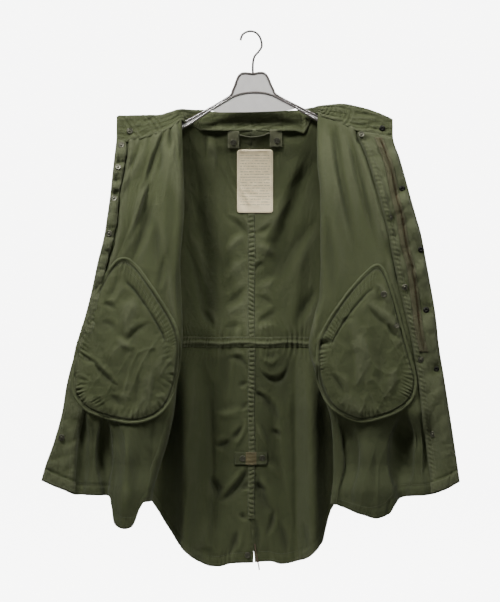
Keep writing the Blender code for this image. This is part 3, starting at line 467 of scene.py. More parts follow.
# A crease: x and drop of its two ends, how far it bows aside, its depth (< 0 for a ridge) and width
Crease = namedtuple("Crease", "x0 drop0 x1 drop1 bow depth width")
BACK_CREASES = listed(
    Crease,
    (157, 430, 36, 622, -8, 3.4, 19), (150, 296, 58, 470, -6, 2.2, 17), (158, 600, 96, 706, -4, 3.6, 12),
    (128, 340, 14, 508, -4, -2.6, 15), (-112, 226, -108, 300, 2, 3, 5), (-99, 226, -88, 330, 3, -2.5, 7),
    (-126, 340, -137, 500, 4, 2, 12), (-160, 470, -104, 708, 7, 3.6, 12), (-124, 646, -84, 708, 3, 3, 7),
    (-56, 520, -36, 650, -4, 2.2, 15), (-64, 430, -8, 486, 8, 2.8, 8), (-60, 522, -7, 470, 6, -2.8, 10),
    (-68, 596, -8, 532, 6, -2.4, 12), (-62, 642, -8, 588, -6, 3.0, 9), (-66, 672, -10, 640, 5, -2.4, 11),
    (-70, 702, -10, 690, 5, 2.2, 8), (10, 470, 52, 440, -8, 3.2, 7), (9, 500, 62, 532, 6, -3.0, 11),
    (8, 562, 34, 538, 4, 3.2, 6), (10, 602, 68, 572, -6, -2.6, 11), (9, 622, 50, 642, 4, 2.8, 8),
    (10, 682, 64, 646, -5, 3.0, 8), (12, 702, 62, 690, 4, -2.4, 9), (12, 790, 92, 770, -42, 5, 8),
    (16, 760, 74, 754, -20, -3, 7), (-62, 768, -10, 802, 18, 3.0, 7), (-88, 978, -48, 960, -4, 5, 7),
    (-50, 962, -18, 924, -5, 4.5, 7), (-80, 1108, -100, 1048, -6, 6, 10), (-9, 824, -34, 834, 2, 3.4, 5),
    (-9, 872, -30, 892, 2, 3.4, 5), (-9, 1066, -26, 1082, 2, 4, 5), (9, 846, 36, 862, -2, 3.4, 5),
    (9, 1062, 38, 1086, -2, 4.5, 6), (9, 1004, 30, 1012, -2, 3.4, 5), (-9, 1150, -30, 1136, 2, 4, 5),
    (-90, 900, -14, 880, -12, -3, 10), (10, 850, 66, 930, 12, 3.5, 8), (46, 938, 72, 958, 3, 4.2, 6),
    (-78, 1111, -5, 1024, -9, 7.5, 8), (-12, 920, -44, 988, 2, -3.5, 6), (12, 920, 42, 990, -2, -3.5, 6),
    (14, 1040, 50, 1140, -8, 5, 9), (16, 1010, 74, 1060, 6, -3, 9), (-130, 1219, -84, 1240, 6, 1.5, 6),
    (-34, 1172, -54, 1238, 4, 4, 7), (54, 1124, 34, 1196, 3, 4, 6), (9, 1146, 16, 1236, 0, 3, 7),
    (60, 1150, 84, 1236, 4, 3, 9), (120, 1150, 128, 1230, 3, 2.5, 8),
)


# Where the cloth falls away behind the collar beside the neck tabs: x, reach and depth
NECK_HOLLOWS = ((-88, 26, -8), (100, 26, -9), (7, 20, 3))


def pushed(folds, out, drop):
    """How far the main folds bring the cloth towards the viewer."""
    total = np.zeros(np.broadcast(out, drop).shape)
    for fold in folds:
        run = (drop - fold.drop_top) / (fold.drop_low - fold.drop_top)
        middle = blend(fold.out_top, fold.out_low, run)
        rise = ramp(np.minimum(run, 1 - run) / FOLD_FADE)
        width = np.where(out < middle, fold.inner_width, fold.outer_width)
        total += fold.height * rise * bell(out, middle, width)
    return total


def creased(creases, x, drop):
    """How far the creases bring the cloth towards the viewer: each is a trough between two low lips."""
    total = np.zeros(np.broadcast(x, drop).shape)
    for crease in creases:
        along_x, along_drop = crease.x1 - crease.x0, crease.drop1 - crease.drop0
        length = math.hypot(along_x, along_drop)
        run = ((x - crease.x0) * along_x + (drop - crease.drop0) * along_drop) / length**2
        aside = ((x - crease.x0) * along_drop - (drop - crease.drop0) * along_x) / length
        inside = np.clip(run, 0, 1)
        width = crease.width * (0.5 + 0.6 * np.sin(math.pi * inside))
        q = (aside - crease.bow * 4 * inside * (1 - inside)) / width
        fade = np.sin(math.pi * inside) ** 1.2 * (1 - 0.35 * inside)
        total += crease.depth * fade * (0.45 * bell(q, 1.6, 1) - np.exp(-(np.abs(q) ** 1.5)))
    return total


def soft_noise(seed, a, b):
    """Smooth noise from -1 to 1 over two coordinates, whose cells are 1 wide."""
    lattice = np.random.default_rng(seed).uniform(-1, 1, (64, 64))
    low_a, low_b = np.floor(a).astype(int), np.floor(b).astype(int)
    share_a, share_b = ramp(a - low_a), ramp(b - low_b)

    def corner(i, j):
        return lattice[(low_a + i) % 64, (low_b + j) % 64]

    near, far = (blend(corner(0, j), corner(1, j), share_a) for j in (0, 1))
    return blend(near, far, share_b)


def rumpled(seed, a, b, size):
    """Low rumples of cloth that has been washed and folded, with a few sharper lines."""
    soft = soft_noise(seed, a / size, b / size) + 0.5 * soft_noise(seed + 1, a / size * 2.1, b / size * 2.1)
    lines = 1 - 2 * np.abs(soft_noise(seed + 2, a / size * 1.3 + b / size * 0.6, b / size * 0.8))
    return 0.7 * soft + 0.5 * np.clip(lines, 0, 1) ** 4


def drawn(seed, x, drop, slope, width, length):
    """Long sharp wrinkles in cloth that is pulled along a line that moves slope sideways as it drops."""
    lean = np.hypot(1, slope)
    across, along = (x - slope * drop) / lean, (drop + slope * x) / lean
    bent = across + 0.35 * width * soft_noise(seed, across / (3 * width), along / length)
    wide = soft_noise(seed + 1, bent / width, along / length)
    fine = soft_noise(seed + 2, bent / (0.5 * width), along / (0.7 * length))
    lines = np.clip(1 - 2.6 * np.abs(wide), 0, 1) ** 1.6
    small = np.clip(1 - 3.2 * np.abs(fine), 0, 1) ** 2
    strength = 0.55 + 0.45 * soft_noise(seed + 3, bent / (2.3 * width), along / (0.8 * length))
    return (1.1 * lines + 0.35 * small + 0.6 * wide) * strength


def puckers(seed, along, away, wave, reach):
    """Short puckers square to a seam: along it, away from it, their spacing and reach."""
    phase = along / wave + 1.9 * soft_noise(seed, along / (5 * wave), away / 60)
    strength = np.clip(0.45 + 0.9 * soft_noise(seed + 1, along / (2.2 * wave), away / 25), 0, 1.3)
    return np.sin(2 * math.pi * phase) * strength * bell(away, 0, reach)


def shoulder_drop(side, out):
    return BACK_TOPS[side].at("drop", out)


def back_depth(side, out, drop):
    top = BACK_TOPS[side]
    depth = blend(BACK.at("middle", drop), BACK.at("flank", drop), ramp((out - MIDDLE_FLAT) / FLANK_RUN))
    depth = depth - pushed(BACK_FOLDS[side], out, drop)
    below = np.maximum(drop - top.at("drop", out), 0)
    return blend(top.at("y", out), depth, 1 - np.exp(-below / SHOULDER_EASE))


def back_sheet(side, u, t):
    """Half of the back: u runs from the middle seam to the side seam, t from the top to the hem."""
    ridges, seam_top = BACK_RIDGES[side], SHOULDER_TIP
    angle = math.pi / 2 * (u - BACK_TURN) / (1 - BACK_TURN)

    def out_at(ridge, seam):
        turn = seam - BACK_SIDE_TURN
        to_turn = blend(ridge, turn, (u - BACK_RIDGE) / (BACK_TURN - BACK_RIDGE))
        return np.select(
            [u < BACK_RIDGE, u < BACK_TURN], [ridge * u / BACK_RIDGE, to_turn],
            turn + BACK_SIDE_TURN * np.sin(angle),
        )

    top = BACK_TOPS[side].at("drop", out_at(ridges.columns["out"][0], seam_top))
    low = BACK_HEMS[side].at("drop", out_at(ridges.columns["out"][-1], BACK_HEMS[side].last))
    drop = blend(top, low, t)
    seam = FRONTS[side].at("side", drop)
    seam_y = np.where(
        drop > ARMHOLE_LOW, FRONTS[side].at("side_y", drop) + SEAM_GAP, BACK.at("side_y", drop)
    )
    slit = ramp((drop - SLIT_TOP) / (SLIT_LOW - SLIT_TOP))
    parted = ramp((drop - SLIT_OPEN) / (SLIT_LOW - SLIT_OPEN))
    start = blend(-0.7 * ramp((drop - SLIT_TOP) / 8), SLIT_HALF_WIDTH, parted)
    start = start + SLIT_SHIFT * slit * SIDES[side]
    turn, ridge = seam - BACK_SIDE_TURN, ridges.at("out", drop)
    out = np.select(
        [u < BACK_RIDGE, u < BACK_TURN],
        [blend(start, ridge, u / BACK_RIDGE),
         blend(ridge, turn, (u - BACK_RIDGE) / (BACK_TURN - BACK_RIDGE))],
        turn + BACK_SIDE_TURN * np.sin(angle),
    )
    y = back_depth(side, np.clip(out, 0, turn), drop)
    return out, np.where(u < BACK_TURN, y, blend(seam_y, y, np.cos(angle))), drop


def cloth_panel(name, grid, surface, relief, toward=(0, -1, 0), worn_reach=9, closed=False):
    """A sheet of cloth over a grid of u and t, moved along its own normal by relief(panel), in mm.

    panel holds u, t, the points, and the distances across from u = 0 and down from t = 0.
    """
    columns, rows = grid
    u, t = np.meshgrid(np.linspace(0, 1, columns + 1), np.linspace(0, 1, rows + 1))
    points = np.stack(np.broadcast_arrays(*surface(u, t)), -1).astype(float)

    def gaps(axis):
        steps = np.linalg.norm(np.diff(points, axis=axis), axis=2)
        return np.insert(np.cumsum(steps, axis=axis), 0, 0, axis=axis)

    across, down = gaps(1), gaps(0)
    normals = np.cross(np.gradient(points, axis=1), np.gradient(points, axis=0))
    if closed:
        normals[:, 0] = normals[:, -1] = normals[:, 1] + normals[:, -2]
    normals /= np.maximum(np.linalg.norm(normals, axis=2, keepdims=True), 1e-9)
    if toward is not None and (normals[rows // 2, columns * 2 // 3] @ np.array(toward)) < 0:
        normals = -normals
    panel = {
        "u": u, "t": t, "x": points[..., 0], "drop": -points[..., 2], "y": points[..., 1],
        "across": across, "down": down, "width": across[:, -1:], "length": down[-1:, :],
    }
    height = relief(panel)
    points = points + normals * height[..., None]

    mesh = bmesh.new()
    bmesh.ops.create_grid(mesh, x_segments=columns, y_segments=rows, size=0.5)
    ridge_layer = mesh.verts.layers.float.new("ridge")
    worn_layer = mesh.verts.layers.float.new("worn")
    edge_gap = np.minimum(down, down[-1:, :] - down)
    if not closed:
        edge_gap = np.minimum(np.minimum(across, across[:, -1:] - across), edge_gap)
    worn = np.exp(-edge_gap / worn_reach)
    # The ridge attribute paints light and shade into the cloth's colour: paler on raised relief, darker in
    # troughs and wherever a relief marks the cloth as shaded
    ridge = np.clip(height / 3, -1, 1) - panel.get("shaded", 0)
    places = {}
    for corner in mesh.verts:
        i, j = round((corner.co.x + 0.5) * columns), round((corner.co.y + 0.5) * rows)
        places[corner.index] = (j, i)
        corner[ridge_layer], corner[worn_layer] = ridge[j, i], worn[j, i]
    uv_layer = mesh.loops.layers.uv.new("UVMap")
    for corner in mesh.verts:
        j, i = places[corner.index]
        for loop in corner.link_loops:
            loop[uv_layer].uv = (across[j, i] * MM, down[j, i] * MM)
    for corner in mesh.verts:
        corner.co = Vector(points[places[corner.index]]) * MM
    if closed:
        bmesh.ops.remove_doubles(mesh, verts=mesh.verts, dist=0.00002)
    bmesh.ops.recalc_face_normals(mesh, faces=mesh.faces)
    return add_piece(name, mesh), points


def add_piece(name, mesh):
    data = bpy.data.meshes.new(name)
    mesh.to_mesh(data)
    mesh.free()
    data.shade_smooth()
    piece = bpy.data.objects.new(name, data)
    bpy.context.scene.collection.objects.link(piece)
    return piece


def wall(piece, thickness):
    made = piece.modifiers.new("wall", "SOLIDIFY")
    made.thickness = thickness * MM
    made.offset = 0
    return piece


def dress(piece, material, slot, *nodes):
    """Gives a finished piece its material, and hides the nodes that it stands for. The slot is not used."""
    piece.data.materials.append(material)
    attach(piece, "root")
    if nodes:
        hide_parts(*nodes)
    return piece


def hem_relief(panel, seed):
    """The turned hem: a groove along its stitching, and puckers between that and the edge."""
    up = panel["length"] - panel["down"]
    groove = -1.5 * bell(up, HEM_DEPTH, 2.4)
    gathers = 1.1 * puckers(seed, panel["across"], np.maximum(up - HEM_DEPTH, 0), 11, 14)
    return groove + gathers + 0.5 * (up < HEM_DEPTH)


def seam_bulge(panel, seed):
    """Puckers beside the middle seam and gathers above and below the waist's casing."""
    pucker = 1.3 * puckers(seed, panel["down"], panel["across"], 9.5, 17)
    waist = panel["drop"] - WAIST_DROP
    gather = 1.6 * puckers(seed + 3, panel["across"], np.maximum(np.abs(waist) - 12, 0), 15, 30)
    gather = gather * (panel["across"] < GATHER_REACH)
    dip = -2.0 * bell(waist, 0, 20) * (panel["across"] < DIP_REACH)
    return pucker + gather + dip


def mirrored(sheet, sign):
    """A surface in x, y and z from a sheet(u, t) that gives how far out, the depth and the drop."""
    def surface(u, t):
        out, y, drop = sheet(u, t)
        return sign * out, y, -drop

    return surface


back_points = {}
for side, sign in SIDES.items():
    def relief(panel, side=side, sign=sign):
        seed = 10 if side == "left" else 20
        free = ramp(panel["down"] / 30) * ramp((panel["width"] - panel["across"]) / 20)
        free = free * ramp(panel["across"] / 8)
        upper = 1 - ramp((panel["drop"] - TIGHT_DROP) / TIGHT_FADE)
        across = panel["x"] + NOISE_SHIFT
        pulled = 2.1 * upper * drawn(seed, across, panel["drop"], -0.5 * sign, 34, 190)
        hanging = 2.2 * (1 - upper) * drawn(seed + 20, across, panel["drop"], 0.12 * sign, 30, 210)
        rumple = 0.8 * rumpled(seed, panel["across"], panel["down"] * 0.6, 42)
        fine = 0.35 * rumpled(seed + 5, panel["across"], panel["down"] * 0.8, 15)
        creases = 1.7 * creased(BACK_CREASES, panel["x"], panel["drop"])
        hollow = sum(
            depth * bell(panel["x"], x, reach) * bell(panel["down"], 6, 20)
            for x, reach, depth in NECK_HOLLOWS
        )
        cloth = free * (pulled + hanging + rumple + fine + creases) + hollow
        tail = ramp((panel["drop"] - TAIL_SHADE_TOP) / 30)
        tail = tail * ramp((TAIL_SHADE_HALF - np.abs(panel["x"])) / 22)
        panel["shaded"] = 0.8 * tail
        seam = seam_bulge(panel, seed + 2) * ramp(panel["down"] / 20)
        return cloth + seam + hem_relief(panel, seed + 4)

    sheet = mirrored(partial(back_sheet, side), sign)
    half, back_points[side] = cloth_panel(f"back_{side}_cloth", BACK_GRID, sheet, relief)
    wall(half, CLOTH)
    dress(half, shell, "shell_cotton", f"back_{side}")


# The fronts. Each runs from its side seam to the roll, turns over it, and lies back as far as its
# buttoning edge, so that its inner face shows. The layer behind the roll hangs from the hanger's arm.
SIDE_TURN, MIDDLE, ROLL = 3 / 28, 6 / 28, 10 / 28
CREASE = {"left": 20 / 28, "right": 22 / 28}
SEAM_TURN = 22
NECK_RADIUS, ROLL_RADIUS, ROLL_TOP, ROLL_RUN = 4, 14, 210, 160
FRONT_GRID = (176, 208)
FRONT_NECKS = {
    "left": Table(
        "out drop", (168, 207), (178, 215), (203, 228), (255, 247), (295, 256), (316, 250),
    ),
    "right": Table(
        "out drop", (156, 190), (184, 200), (220, 216), (248, 230), (300, 240), (331, 248),
    ),
}
FRONT_HEMS = {
    "left": Table(
        "out drop", (236, 1098), (245, 1118), (253, 1144), (262, 1155), (281, 1159), (299, 1157),
        (313, 1151), (320, 1138), (325, 1110), (331, 1086), (377, 1083), (400, 1083), (437, 1070),
        (459, 1062), (489, 1049),
    ),
    "right": Table(
        "out drop", (172, 1106), (205, 1120), (238, 1129), (271, 1136), (307, 1127), (327, 1107),
        (351, 1087), (410, 1083), (445, 1072), (484, 1052),
    ),
}
FRONT_FOLDS = {
    "left": listed(
        Fold,
        (292, 850, 300, 1400, 32, 60, 22), (341, 850, 334, 1400, -26, 5, 8),
        (366, 880, 374, 1400, 6, 13, 13), (390, 840, 404, 1300, -16, 9, 9), (186, 205, 214, 640, 6, 15, 15),
        (214, 225, 268, 600, -5, 17, 17), (236, 235, 320, 600, 5, 18, 18), (200, 560, 172, 980, -6, 18, 18),
    ),
    "right": listed(
        Fold,
        (286, 850, 275, 1400, 24, 50, 46), (214, 830, 212, 1400, -11, 17, 17),
        (354, 850, 348, 1300, -28, 10, 11), (396, 860, 400, 1300, 7, 14, 12),
        (190, 190, 196, 760, 5, 16, 16), (232, 215, 262, 640, -5, 18, 18), (300, 300, 330, 700, 5, 18, 18),
    ),
}
FRONT_CREASES = {
    "left": listed(
        Crease,
        (-206, 222, -254, 372, -4, -4.5, 6), (-200, 226, -238, 352, -6, 4.5, 7),
        (-226, 262, -262, 390, 4, 4, 7), (-240, 330, -305, 520, 5, -5, 7), (-228, 380, -286, 560, 6, 4, 9),
        (-262, 400, -318, 540, 3, 4, 8), (-180, 210, -172, 300, 3, -4.5, 5),
        (-188, 214, -190, 300, -2, 5, 5), (-200, 250, -172, 430, 12, -4, 13),
        (-210, 268, -224, 352, 2, 3.5, 7), (-244, 250, -300, 380, 6, -3, 9),
        (-262, 262, -312, 372, 5, 3.5, 6), (-282, 268, -322, 420, 9, -4, 6),
        (-322, 400, -334, 540, 3, -4, 6), (-174, 540, -152, 690, 2, 5, 8),
        (-190, 560, -176, 700, -2, -3, 8), (-204, 520, -222, 620, 3, 3, 8),
        (-232, 430, -222, 560, 4, 3, 10), (-268, 560, -250, 620, 3, -2.5, 8),
        (-250, 920, -262, 1110, 5, 3.5, 15), (-286, 930, -292, 1130, 3, -4, 12),
        (-430, 930, -452, 1040, 3, 3, 9), (-350, 930, -345, 1060, 3, 4, 10),
        (-380, 920, -392, 1070, -3, -3.5, 10), (-230, 910, -226, 1060, 3, 4, 10),
    ),
    "right": listed(
        Crease,
        (186, 950, 212, 1092, 3, 5, 7), (178, 214, 240, 540, -8, -4, 9), (194, 232, 244, 510, -6, 4.5, 10),
        (216, 226, 282, 480, -8, -4.5, 10), (234, 262, 280, 470, -5, 4.5, 9),
        (262, 258, 330, 540, 8, -5, 9), (250, 330, 296, 520, -4, 3.5, 9), (196, 206, 214, 330, -3, 3, 8),
        (170, 204, 176, 420, 3, -3, 10), (170, 420, 190, 640, 4, 3.5, 12), (150, 745, 192, 722, 4, 7, 7),
        (146, 640, 140, 730, 3, -4, 7), (300, 470, 326, 560, 3, 3.5, 8), (136, 760, 168, 790, -4, -3, 7),
        (168, 850, 182, 1000, 3, -4, 9), (262, 930, 262, 1120, 4, -4, 18), (330, 930, 345, 1090, 4, 5, 12),
        (236, 920, 226, 1110, -4, 5, 12), (372, 930, 378, 1060, 3, -4, 10), (410, 930, 404, 1050, 3, 3, 9),
        (200, 900, 206, 1060, 3, -3, 9),
    ),
}
PLACKET_INNER = {
    "left": Table(
        "drop out", (262, 292), (316, 297), (388, 309), (460, 318), (520, 331), (600, 350), (760, 372),
        (890, 388), (979, 405), (1052, 410),
    ),
    "right": Table(
        "drop out", (246, 248), (300, 270), (437, 309), (600, 343), (735, 374), (855, 392), (921, 399),
        (975, 408), (1045, 417),
    ),
}
# Below its bag each front falls back: from how far out to how far out, and how deep
UNDER_BAG = {"left": (165, 425, 14), "right": (150, 452, 26)}
UNDER_BAG_TOP, UNDER_BAG_LOW = 880, 1010
# How the wrinkles lean, and how hard the placket pulls on the cloth beside it, at certain drops
FAN = ((250, 700, 1000), (0.34, 0.1, -0.02))
PLACKET_PULL = ((250, 540, 620, 900), (1, 1, 0.4, 0.5))
# The stitching of a tape on the outer face, whose puckers come through: its ends and spacing
TAPE_STITCHES = [((-300, 358), (-186, 388)), ((-292, 402), (-190, 428))]
TAPE_WAVE, TAPE_REACH = 6.5, 16


def roll_radius(drop):
    return blend(NECK_RADIUS, ROLL_RADIUS, ramp((drop - ROLL_TOP) / ROLL_RUN))


def front_depth(side, out, drop):
    table = FRONTS[side]
    roll, edge = table.at("roll", drop), table.at("edge", drop)
    share = np.clip((out - roll) / (edge - roll), 0, 1)
    depth = blend(table.at("front_y", drop), table.at("edge_y", drop), share**2)
    return depth - pushed(FRONT_FOLDS[side], out, drop)


def middle_depth(side, out, drop):
    below = np.maximum(drop - shoulder_drop(side, out), 0)
    return blend(-SHOULDER_Y, FRONTS[side].at("mid_y", drop), 1 - np.exp(-below / SHOULDER_EASE))


def front_span(side, u):
    """The drops of a front's top edge and hem."""
    neck, hem, table, crease = FRONT_NECKS[side], FRONT_HEMS[side], FRONTS[side], CREASE[side]
    neck_in, neck_out, hem_in, hem_out = neck.first, neck.last, hem.first, hem.last
    neck_crease = table.at("crease", neck.at("drop", neck_out))
    hem_crease = table.at("crease", SIDE_HEM)
    behind = u / MIDDLE
    over = ramp((u - MIDDLE) / (ROLL - MIDDLE))
    inner, outer = (u - ROLL) / (crease - ROLL), (u - crease) / (1 - crease)
    at_neck = np.where(u < crease, blend(neck_in, neck_crease, inner), blend(neck_crease, neck_out, outer))
    at_hem = np.where(u < crease, blend(hem_in, hem_crease, inner), blend(hem_crease, hem_out, outer))
    first_top, first_hem = shoulder_drop(side, neck_in), hem.at("drop", hem_in)
    stretches = [u < MIDDLE, u < ROLL]
    behind_top = shoulder_drop(side, blend(SHOULDER_TIP, neck_in, behind))
    rolled_top = blend(first_top, neck.at("drop", neck_in), over)
    top = np.select(stretches, [behind_top, rolled_top], neck.at("drop", at_neck))
    low = np.select(stretches, [blend(SIDE_HEM, first_hem, behind), first_hem], hem.at("drop", at_hem))
    return top, low


def front_sheet(side, u, t):
    top, low = front_span(side, u)
    drop = blend(top, low, t)
    table, crease = FRONTS[side], CREASE[side]
    seam, seam_y = table.at("side", drop), table.at("side_y", drop) - SEAM_GAP
    radius = roll_radius(drop)
    inner = table.at("roll", drop) + radius
    side_angle = math.pi / 2 * np.clip(u / SIDE_TURN, 0, 1)
    side_out = seam - SEAM_TURN * (1 - np.cos(side_angle))
    flat_out = blend(seam - SEAM_TURN, inner, (u - SIDE_TURN) / (MIDDLE - SIDE_TURN))
    roll_angle = math.pi * np.clip((u - MIDDLE) / (ROLL - MIDDLE), 0, 1)
    middle_y, front_y = middle_depth(side, inner, drop), front_depth(side, inner, drop)
    half = (middle_y - front_y) / 2
    turned = np.where(
        u < crease, blend(inner, table.at("crease", drop), (u - ROLL) / (crease - ROLL)),
        blend(table.at("crease", drop), table.at("edge", drop), (u - crease) / (1 - crease)),
    )
    stretches = [u < SIDE_TURN, u < MIDDLE, u < ROLL]
    out = np.select(stretches, [side_out, flat_out, inner - radius * np.sin(roll_angle)], turned)
    y = np.select(
        stretches,
        [blend(seam_y, middle_depth(side, side_out, drop), np.sin(side_angle)),
         middle_depth(side, flat_out, drop), middle_y - half + half * np.cos(roll_angle)],
        front_depth(side, turned, drop),
    )
    return out, y, drop


def tape_puckers(x, drop):
    total = np.zeros(x.shape)
    for number, ((x0, drop0), (x1, drop1)) in enumerate(TAPE_STITCHES):
        length = math.hypot(x1 - x0, drop1 - drop0)
        run = ((x - x0) * (x1 - x0) + (drop - drop0) * (drop1 - drop0)) / length
        aside = ((x - x0) * (drop1 - drop0) - (drop - drop0) * (x1 - x0)) / length
        ends = ramp(run / 12) * ramp((length - run) / 12)
        total += ends * puckers(70 + number, run, np.abs(aside), TAPE_WAVE, TAPE_REACH)
        total -= 0.8 * ends * bell(aside, 0, 1.5)
    return total


front_points = {}
for side, sign in SIDES.items():
    def relief(panel, side=side, sign=sign):
        seed = 30 if side == "left" else 40
        turned = ramp((panel["u"] - (MIDDLE + ROLL) / 2) / 0.06)
        from_edge = panel["width"] - panel["across"]
        free = ramp(panel["down"] / 12) * ramp(panel["across"] / 20)
        creases = 1.8 * turned * creased(FRONT_CREASES[side], panel["x"], panel["drop"])
        fan = sign * np.interp(panel["drop"], *FAN)
        lean = fan.mean(1, keepdims=True)
        rumple = 2.3 * turned * drawn(seed, panel["x"] + NOISE_SHIFT, panel["drop"], lean, 30, 230)
        rumple += 0.8 * rumpled(seed, panel["across"], panel["down"] * 0.5, 46)
        fine = 0.3 * rumpled(seed + 5, panel["across"], panel["down"] * 0.7, 16)
        behind = (1 - turned) * 1.6 * rumpled(seed + 8, panel["across"], panel["down"] * 0.35, 40)
        edge = 0.8 * puckers(seed + 6, panel["down"], from_edge, 13, 24)
        inside = PLACKET_INNER[side].at("out", panel["drop"]) - np.abs(panel["x"])
        beside = turned * (bell(inside, 12, 7) - 1.5 * bell(inside, 0, 5))
        edge += 3.0 * beside * np.interp(panel["drop"], *PLACKET_PULL)
        neck = 0.9 * puckers(seed + 7, panel["across"], panel["down"], 17, 26) * turned
        total = free * (creases + rumple + fine + behind) + edge + neck * ramp(panel["down"] / 4)
        total += hem_relief(panel, seed + 4)
        sunk = ramp((panel["drop"] - UNDER_BAG_TOP) / 80)
        sunk = sunk * (1 - 0.75 * ramp((panel["drop"] - UNDER_BAG_LOW) / 70))
        first, last, deep = UNDER_BAG[side]
        inward = ramp((np.abs(panel["x"]) - first) / 40) * ramp((last - np.abs(panel["x"])) / 40)
        total -= deep * sunk * inward * turned
        if side == "left":
            total += 0.8 * turned * tape_puckers(panel["x"], panel["drop"])
        return total

    sheet = mirrored(partial(front_sheet, side), sign)
    front, front_points[side] = cloth_panel(f"front_{side}_cloth", FRONT_GRID, sheet, relief)
    wall(front, CLOTH)
    dress(front, shell, "shell_cotton", f"front_{side}")


# The sleeves hang behind the fronts, each a tapered tube from the armhole down to a plain cuff.
# They are set in with a seam, fall in long soft folds, and wrinkle across at the elbow.
SLEEVE = Table(
    "along top_out top_drop low_out low_drop y half_depth",
    (0.00, 239, 262, 239, 476, 10, 40),
    (0.08, 252, 269, 244, 479, 27, 50),
    (0.18, 281, 296, 249, 491, 28, 55),
    (0.30, 308, 350, 252, 516, 27, 58),
    (0.45, 326, 450, 255, 571, 26, 60),
    (0.60, 336, 560, 259, 641, 24, 60),
    (0.75, 345, 680, 267, 731, 20, 58),
    (0.88, 354, 790, 277, 816, 17, 56),
    (1.00, 360, 880, 288, 886, 14, 53),
)
CUFF = Table(
    "along top_out top_drop low_out low_drop y half_depth",
    (0.0, 360, 881, 288, 887, 14, 53), (1.0, 366, 930, 298, 934, 12, 47),
)
SLEEVE_EASE, ARMHOLE_GAP, CUFF_WALL = 0.14, 2.6, 2.0
SLEEVE_GRID, CUFF_GRID = (96, 90), (96, 10)


def tube_sheet(table, u, along):
    turn = 2 * math.pi * u
    row = {name: table.at(name, along) for name in table.columns}
    lift = (1 + np.cos(turn)) / 2
    out = blend(row["low_out"], row["top_out"], lift)
    drop = blend(row["low_drop"], row["top_drop"], lift)
    return out, row["y"] - row["half_depth"] * np.sin(turn), drop


def sleeve_sheet(side, u, along):
    turn = 2 * math.pi * u
    tip = shoulder_drop(side, SHOULDER_TIP)
    drop = blend(tip, ARMHOLE_LOW + 1, (1 - np.cos(turn)) / 2)
    front_y, rear_y = FRONTS[side].at("side_y", drop), BACK.at("side_y", drop)
    across = np.sin(turn)
    nearer_y = np.where(across > 0, front_y, rear_y)
    hole_y = blend((front_y + rear_y) / 2, nearer_y, np.minimum(1, 3 * np.abs(across)))
    hole = (FRONTS[side].at("side", drop) + ARMHOLE_GAP, hole_y, drop)
    share = ramp(along / SLEEVE_EASE)
    return tuple(blend(a, b, share) for a, b in zip(hole, tube_sheet(SLEEVE, u, along)))


def wrist_relief(panel):
    ends = ramp(panel["down"] / 6)
    return ends * 0.5 * rumpled(77, 60 * np.sin(2 * math.pi * panel["u"]), panel["down"], 20)


for side, sign in SIDES.items():
    def arm_relief(panel, side=side):
        seed = 50 if side == "left" else 60
        turn = 2 * math.pi * panel["u"]
        away = ramp(panel["down"] / 60) * ramp((panel["length"] - panel["down"]) / 25)
        uneven = soft_noise(seed, panel["t"] * 4, np.sin(turn))
        long_folds = 2.2 * np.sin(3 * turn + 2.5 * panel["t"]) * uneven
        elbow = 2.6 * bell(panel["t"], 0.52, 0.16) * np.sin(26 * panel["t"] * 2 + 2.2 * np.cos(turn))
        rumple = 1.5 * rumpled(seed, 60 * np.sin(turn) + 200, panel["down"] + 60 * np.cos(turn), 48)
        gather = 0.9 * puckers(seed + 2, 60 * np.sin(turn / 2), panel["length"] - panel["down"], 9, 30)
        return away * (long_folds + elbow + rumple) + gather * 0.5

    arm, wrist = (mirrored(partial(*parts), sign) for parts in ((sleeve_sheet, side), (tube_sheet, CUFF)))
    sleeve, _ = cloth_panel(f"sleeve_{side}_cloth", SLEEVE_GRID, arm, arm_relief, toward=None, closed=True)
    wall(sleeve, CLOTH)
    dress(sleeve, shell, "shell_cotton", f"sleeve_{side}")
    cuff, _ = cloth_panel(f"cuff_{side}_cloth", CUFF_GRID, wrist, wrist_relief, toward=None, closed=True)
    wall(cuff, CUFF_WALL)
    dress(cuff, shell, "shell_cotton", f"cuff_{side}")


# The collar is a doubled band on the neck seam. It stands up behind the neck, crosses the hanger's
# arms, and lies back with the fronts. Its rows of quilting stitches pucker it.
COLLAR = Table(
    "out low high lean",
    (-316, 248.6, 200, 6), (-309, 250.5, 197, 7), (-295, 254.6, 197, 8), (-255, 245.8, 196, 9),
    (-216, 232.6, 195, 9), (-190, 221, 188, 8), (-178, 212, 184, 6), (-170, 200, 182, 4),
    (-160, 194, 181, 2), (-150, 198, 181, 2), (-140, 207, 181, 3), (-128, 218, 181, 4),
    (-117, 223.4, 181, 5), (-90, 224.6, 185, 6), (0, 224.6, 185, 7), (100, 224.6, 182, 6),
    (119, 222.8, 180, 5), (129, 213, 178, 4), (138, 197, 177, 3), (147, 185, 176, 2),
    (156, 182, 174, 2), (166, 190, 173, 3), (184, 198.4, 171, 6), (210, 209.8, 169, 8),
    (248, 228.4, 175, 9), (271, 233, 181, 9), (317, 243.6, 199, 7), (331, 246.6, 206, 6),
)
COLLAR_GRID = (360, 26)
# How far it hangs over the cloth: everywhere, more at the rolls, and most at the neck's two corners
NECK_OVERLAP, ROLL_OVERLAP, CORNER_OVERLAP = 6.5, 4, 11
ROLL_MIDDLE, LEFT_CORNER, RIGHT_CORNER = 165, 151, 127
COLLAR_WALL = 1.8
COLLAR_FRONT, COLLAR_BACK = {"left": 180, "right": 168}, 130


